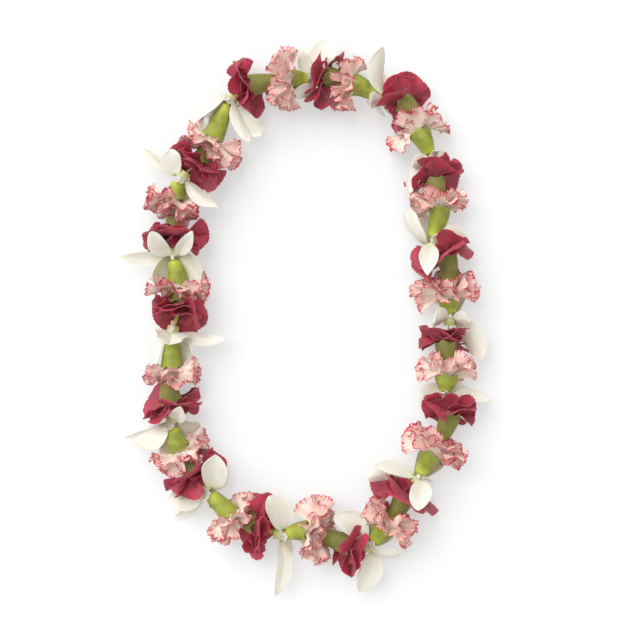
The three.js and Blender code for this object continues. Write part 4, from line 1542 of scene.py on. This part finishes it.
# ---- Calyces ----


@dataclass
class Calyces:
    """The green cups that hold each carnation's petals, in runs of three with their stalks."""

    material: bpy.types.Material
    length: float = 26.0
    mouth_radius: float = 8.8
    foot_radius: float = 4.0
    middle_radius: float = 7.0
    wall: float = 1.1
    recess: float = 2.9
    tooth_length: float = 2.7
    tooth_flare: float = 0.3
    teeth: int = 5
    sides: int = 50
    rib_height: float = 0.025
    stub: float = 1.6
    per_run: int = 3
    claw_height: float = 3.6
    foot_gap: float = 2.4
    ribs: int = 20
    body_rings: int = 16
    stalk_rings: int = 9
    bracts: int = 4
    bract_start: float = 0.6
    bract_step: float = 1.4
    bract_turn: float = 17.0
    bract_thickness: float = 0.5

    def foot_distance(self, order: int, route: Route) -> float:
        """Returns the distance along the thread to a calyx's foot."""
        at = route.distance_to(order)
        room = at - route.distance_to(order - 1) - self.claw_height - self.foot_gap
        return at - min(self.length, room)

    def ring(self, stand: Stand, radius: float, height: float = 0.0, crown: float = 0.0) -> Points:
        """Returns a ring round a stand.

        Args:
            stand: Its middle and its way.
            radius: Its radius.
            height: How far ahead of the stand it lies.
            crown: How far it rises and flares into teeth, from 0 to 1.
        """
        turns = full_turn(self.sides)
        wave = np.abs(((turns * self.teeth / (2 * math.pi) + 0.5) % 1.0) * 2.0 - 1.0)
        tooth = np.clip(1.0 - wave, 0.0, 1.0) ** 1.35
        ribs = self.rib_height * np.cos(turns * self.ribs)
        out = radius + crown * self.tooth_flare * tooth + ribs * (radius > self.stub + 1)
        up = height + crown * self.tooth_length * tooth
        heights = np.broadcast_to(up, out.shape)
        return stand.out(np.stack([out * np.cos(turns), out * np.sin(turns), heights], axis=1))

    def add_cup(self, shell: Shell, order: int, route: Route) -> None:
        """Adds one cup, from its foot over its toothed rim and down into its recess."""
        mouth = route.face(order)
        foot = route.stand(self.foot_distance(order, route))
        third = float(np.linalg.norm(mouth.place - foot.place)) / 3
        ends = [foot.place, foot.place + foot.ahead * third, mouth.place - mouth.ahead * third, mouth.place]
        rings, alongs = [], []
        for share in np.linspace(0.0, 0.94, self.body_rings):
            weights = np.array([(1 - share) ** 3, 3 * share * (1 - share) ** 2,
                                3 * share**2 * (1 - share), share**3])
            slopes = np.array([-((1 - share) ** 2), (1 - share) ** 2 - 2 * share * (1 - share),
                               2 * share * (1 - share) - share**2, share**2])
            stand = Stand.facing(weights @ np.array(ends), slopes @ np.array(ends))
            swell = np.interp(
                share, [0.0, 0.08, 0.5, 1.0],
                [self.foot_radius, self.foot_radius + 1.0, self.middle_radius, self.mouth_radius],
            )
            rings.append(self.ring(stand, float(swell)))
            alongs.append(share)
        inner = self.mouth_radius - self.wall
        for radius, height, crown, along in (
            (self.mouth_radius, 0.0, 0.35, 1.0), (self.mouth_radius + 0.05, 0.25, 0.72, 1.08),
            (self.mouth_radius, 0.5, 1.0, 1.16), (self.mouth_radius - 0.4, 0.45, 1.0, 1.16),
            (inner, 0.0, 0.6, 1.1), (inner - 0.3, -self.recess / 2, 0.0, 1.0),
            (inner - 0.6, -self.recess, 0.0, 0.9), (self.stub + 0.4, -self.recess, 0.0, 0.9),
        ):
            rings.append(self.ring(mouth, radius, height, crown))
            alongs.append(along)
        shell.add_rings(rings, alongs, 1.0 if Bloom.at(order) is Bloom.CRIMSON else 0.0)

    def add_stalk(self, shell: Shell, order: int, first: bool, route: Route) -> None:
        """Adds the stalk between a cup's foot and what is behind it."""
        foot = self.foot_distance(order, route)
        if first:
            start = route.distance_to(order - 1) + 1.0
        else:
            behind = order - 2 if Bloom.at(order - 1) is Bloom.ORCHID else order - 1
            start = route.distance_to(behind) - self.recess - 1.0
        rings = []
        for share in np.linspace(0.0, 1.0, self.stalk_rings):
            radius = self.stub + 1.1 * max(0.0, (share - 0.7) / 0.3) ** 2
            rings.append(self.ring(route.stand(start + (foot + 1.0 - start) * share), radius)[::3])
        shell.add_rings(rings, [0.02] * len(rings), 0.3)

    def bract_points(self, orders: Iterable[int], route: Route) -> list[dict[str, float]]:
        """Returns a point for each bract: two pairs at the foot of every cup."""
        rows = []
        for order in orders:
            foot_at = self.foot_distance(order, route)
            for k in range(self.bracts):
                stand = route.stand(foot_at + self.bract_start + self.bract_step * (k % 2))
                turn = math.radians(45.0 + 90.0 * k + self.bract_turn * order)
                out = math.cos(turn) * stand.left + math.sin(turn) * stand.up
                side = np.cross(stand.ahead, out)
                vectors = {"at": stand.place, "out": out, "side": side, "way": stand.ahead}
                row = {
                    f"{key}_{axis}": float(number)
                    for key, vector in vectors.items() for axis, number in zip("xyz", vector)
                }
                rows.append({**row, "tone": 1.0 if Bloom.at(order) is Bloom.CRIMSON else 0.2})
        return rows

    def build(self, recipe: BractRecipe, yard: Yard) -> None:
        for run in range(2 * REPEATS // self.per_run):
            shell = Shell()
            orders = []
            for i in range(self.per_run):
                carnation = run * self.per_run + i
                kind = Bloom.PICOTEE if carnation % 2 else Bloom.CRIMSON
                order = len(Bloom) * (carnation // 2) + kind.value
                orders.append(order)
                self.add_cup(shell, order, yard.route)
                if i > 0 or Bloom.at(order - 1) is Bloom.ORCHID:
                    self.add_stalk(shell, order, i == 0, yard.route)
            name = f"calyx_cups_{run + 1:02d}"
            mesh = shell.to_mesh(name, Sheet.WRAP, "tone")
            mesh.materials.append(self.material)
            piece = new_object(name, mesh)
            bracts = point_cloud(name + "_bracts", self.bract_points(orders, yard.route))
            recipe.run(bracts, self.material)
            thicken(bracts, self.bract_thickness)
            join(piece, baked(bracts, name + "_bract"))
            yard.move(piece.data)
            yard.keep_clear_of(piece, yard.route.face(orders[1]).place)
            dress(piece, "calyx", f"calyx_run_{run + 1:02d}")


class BractRecipe(Recipe):
    """Small pointed scales that hug the foot of a calyx."""

    def __init__(self) -> None:
        """Builds the tree."""
        super().__init__("calyx_bracts", {
            "Length": 8.5, "Half Width": 3.0, "Start Radius": 4.1, "End Radius": 7.0, "Columns": 7,
            "Rows": 9,
        })
        graph = self.graph
        scales = self.grids()
        across, along = self.read("across"), self.read("along")
        wide = across * self.size("Half Width") * (1.0 - along**2.2) ** 0.9
        start, end = self.size("Start Radius"), self.size("End Radius")
        radius = start + (end - start) * along * 0.62
        bend = wide / radius
        out = radius * bend.cos() + 0.35 + 0.5 * along**3.0
        vectors = {
            key: graph.vector(*(self.read(f"{key}_{axis}") for axis in "xyz"))
            for key in ("at", "out", "side", "way")
        }
        place = graph.total(
            vectors["at"], graph.scaled(vectors["out"], out),
            graph.scaled(vectors["side"], radius * bend.sin()),
            graph.scaled(vectors["way"], along * self.size("Length")),
        )
        self.lay(scales, place, Sheet.WRAP, graph.vector(across * 0.1, 0.1 + along * 0.5, 0.0))


# ---- Thread ----


@dataclass
class Thread:
    """The cotton thread: three plies twisted along the route, and its knot."""

    material: bpy.types.Material
    radius: float = 0.6
    plies: int = 3
    turns: int = 190
    step: float = 1.6
    knot_radius: float = 1.2
    knot_depth: float = 1.1
    knot_strand: float = 0.5
    knot_points: int = 60
    strand_sides: int = 8
    tail: float = 4.0
    tail_lean: float = 24.0
    every: int = 8

    def knot(self, yard: Yard) -> bpy.types.Mesh:
        """Returns the knot, an overhand turn round the thread, and its two cut tails."""
        stand = yard.route.stand(yard.route.distance_to(BLOOMS - 1))
        turns = full_turn(self.knot_points)
        loop = np.stack([
            self.knot_radius * np.cos(2 * turns), self.knot_radius * np.sin(2 * turns),
            self.knot_depth * np.sin(turns),
        ], axis=1)
        paths = [np.concatenate([loop, loop[:1]])]
        for side in (1.0, -1.0):
            lean = math.radians(self.tail_lean) * side
            tip = np.array([math.sin(lean), 0.0, math.cos(lean)]) * self.tail
            paths.append(np.linspace(np.zeros(3), tip, 6))
        shell = Shell()
        for path in paths:
            rings = [stand.out(ring) for ring in self.tube(path)]
            shell.add_rings(rings, list(np.linspace(0, 1, len(path))))
        return shell.to_mesh("thread_knot", Sheet.WRAP, "tone")

    def tube(self, path: Points) -> list[Points]:
        """Returns rings of the strand round a path."""
        turns = full_turn(self.strand_sides)
        rings = []
        for i, centre in enumerate(path):
            ahead = path[min(i + 1, len(path) - 1)] - path[max(i - 1, 0)]
            ahead = ahead / np.linalg.norm(ahead)
            side = np.cross(ahead, (0.0, 0.3, 1.0))
            side /= np.linalg.norm(side)
            up = np.cross(ahead, side)
            circle = np.outer(np.cos(turns), side) + np.outer(np.sin(turns), up)
            rings.append(centre + self.knot_strand * circle)
        return rings

    def build(self, recipe: PlyRecipe, yard: Yard) -> None:
        curve = bpy.data.curves.new("thread_route", "CURVE")
        curve.dimensions = "3D"
        spline = curve.splines.new("POLY")
        points = yard.route.samples[:-1:self.every] * MILLIMETRE
        spline.points.add(len(points) - 1)
        spline.points.foreach_set("co", np.column_stack([points, np.ones(len(points))]).ravel())
        spline.use_cyclic_u = True
        owner = new_object("thread_route", curve)
        count = int(round(yard.route.length / self.step))
        half = self.radius * 0.5 * MILLIMETRE
        recipe.run(
            owner, self.material, Count=count, Plies=self.plies, Turns=float(self.turns),
            Lay_Radius=half, Ply_Radius=half,
        )
        piece = baked(owner, "thread_plies")
        mesh = self.knot(yard)
        mesh.materials.append(self.material)
        join(piece, new_object("thread_knot", mesh))
        yard.move(piece.data)
        dress(piece, "thread", "thread")


class PlyRecipe(Recipe):
    """Plies twisted round a curve."""

    def __init__(self) -> None:
        """Builds the tree."""
        super().__init__("thread_plies", {
            "Count": 600, "Plies": 3, "Turns": 190.0, "Lay Radius": 0.0003, "Ply Radius": 0.0003,
        })
        graph = self.graph
        even = graph.node(
            "GeometryNodeResampleCurve", None, Curve=self.link("Geometry"), Count=self.link("Count")
        )
        copies = graph.node(
            "GeometryNodeDuplicateElements", {"domain": "SPLINE"}, Geometry=even,
            Amount=self.link("Plies"),
        )
        share = graph.value(graph.node("GeometryNodeSplineParameter"), "Factor")
        which = graph.value(copies, "Duplicate Index") / self.size("Plies")
        angle = 2.0 * math.pi * (share * self.size("Turns") + which)
        normal = graph.node("GeometryNodeInputNormal")
        tangent = graph.node("GeometryNodeInputTangent")
        across = graph.node("ShaderNodeVectorMath", {"operation": "CROSS_PRODUCT"}, _0=tangent, _1=normal)
        offset = graph.total(
            graph.scaled(normal, self.size("Lay Radius") * angle.cos()),
            graph.scaled(across, self.size("Lay Radius") * angle.sin()),
        )
        curves = graph.find(copies.outputs, "Geometry")
        laid = graph.node("GeometryNodeSetPosition", None, Geometry=curves, Offset=offset)
        profile = graph.node(
            "GeometryNodeCurvePrimitiveCircle", {"mode": "RADIUS"}, Resolution=6,
            Radius=self.size("Ply Radius"),
        )
        self.finish(
            graph.node("GeometryNodeCurveToMesh", None, Curve=laid, Profile_Curve=graph.first(profile))
        )


# ---- Studio ----


@dataclass(frozen=True)
class Studio:
    """The pale floor, a soft sun from the upper left, an even sky and the camera straight above.

    Attributes:
        field: Width and height of what the camera sees at the lei's height, in metres.
        centre: Where the camera looks, from the lei's middle, in metres.
    """

    field: float = 0.5137
    centre: tuple[float, float] = (0.0101, -0.0041)
    middle_height: float = 0.02
    lens: float = 85.0
    sensor: float = 36.0
    sun_strength: float = 2.2
    sun_angle: float = 55.0
    sun_from: tuple[float, float, float] = (-0.6, 0.7, 1.1)
    sky_strength: float = 0.78
    sky: tuple[float, float, float] = (1.0, 0.99, 0.98)
    floor_half: float = 3.0

    def build(self) -> None:
        """Makes the floor, the light and the camera."""
        half = self.floor_half
        corners = [(-half, -half, 0), (half, -half, 0), (half, half, 0), (-half, half, 0)]
        mesh = bpy.data.meshes.new("pale_floor")
        mesh.from_pydata(corners, [], [(0, 1, 2, 3)])
        mesh.materials.append(FloorFinish().build())
        floor = new_object("pale_floor", mesh)
        sun = bpy.data.lights.new("key_light", "SUN")
        sun.energy, sun.angle = self.sun_strength, math.radians(self.sun_angle)
        lamp = new_object("key_light", sun)
        lamp.rotation_euler = Vector(self.sun_from).to_track_quat("Z", "Y").to_euler()
        world = bpy.data.worlds.new("soft_studio")
        world.use_nodes = True
        sky = world.node_tree.nodes["Background"]
        sky.inputs["Color"].default_value = (*self.sky, 1.0)
        sky.inputs["Strength"].default_value = self.sky_strength
        bpy.context.scene.world = world
        bpy.context.scene.view_settings.view_transform = "Standard"
        data = bpy.data.cameras.new("above")
        data.lens, data.sensor_width = self.lens, self.sensor
        camera = new_object("above", data)
        distance = self.field / 2 * self.lens / (self.sensor / 2)
        camera.location = (*self.centre, self.middle_height + distance)
        bpy.context.scene.camera = camera


def main() -> None:
    """Builds the lei, piece by piece, and the studio round it."""
    logging.basicConfig(level=logging.INFO, format="%(name)s: %(message)s")
    for thing in list(bpy.data.objects):
        bpy.data.objects.remove(thing)
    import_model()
    yard = Yard.around(*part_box("thread"))
    Calyces(CalyxFinish().build()).build(BractRecipe(), yard)
    Orchids(OrchidFinish().build()).build(TepalRecipe(), yard)
    petals = PetalRecipe()
    Carnation(
        Bloom.CRIMSON, "crimson", "crimson_petal", 0, CrimsonFinish().build(),
        outer=Whorl(23.0, 98, 22), middle=Whorl(21.5, 86, 34),
        inner=Whorl(20, 74, 40), heart=Whorl(15, 54, 36),
        waves=1.5, ruffle=1.8, tooth_depth=0.045, frill=0.12, fan_angle=54.0, twist=38.0,
        tones=(0.45, 0.35, 0.2, 0.0, 0.5, 0.45, 1.0, 0.5, 0.5, 0.2, 0.1, 0.2, 0.3, 0.55, 0.25),
        nods=(10, 26, 12, 44, 14, 12, 22, 6, 20, 16, 14, 14, 30, 26, 22),
        sizes=(0.92, 0.94, 1.0, 0.92, 0.96, 0.98, 1.02, 0.96, 1.12, 0.86, 0.88, 1.0, 1.0, 0.92, 0.96),
    ).build(petals, yard)
    Carnation(
        Bloom.PICOTEE, "picotee", "picotee_petal", 200, PicoteeFinish().build(),
        outer=Whorl(23, 101, 22), middle=Whorl(22, 84, 32),
        inner=Whorl(21, 67, 44), heart=Whorl(16.5, 46, 40),
        waves=2.3, ruffle=2.9, tooth_depth=0.07, frill=0.22,
        tones=(0.6, 1.0, 0.8, 0.45, 0.6, 0.6, 0.4, 0.55, 0.8, 0.2, 0.8, 0.6, 0.7, 0.7, 0.2),
        nods=(12, 18, 8, 8, 20, 8, 30, 14, 14, 22, 34, 12, 26, 26, 36),
        sizes=(1.05, 0.92, 1.0, 0.86, 1.04, 0.93, 1.05, 0.98, 1.06, 0.95, 1.1, 0.87, 1.0, 0.88, 1.06),
    ).build(petals, yard)
    Thread(ThreadFinish().build()).build(PlyRecipe(), yard)
    Studio().build()


if __name__ == "__main__":
    main()
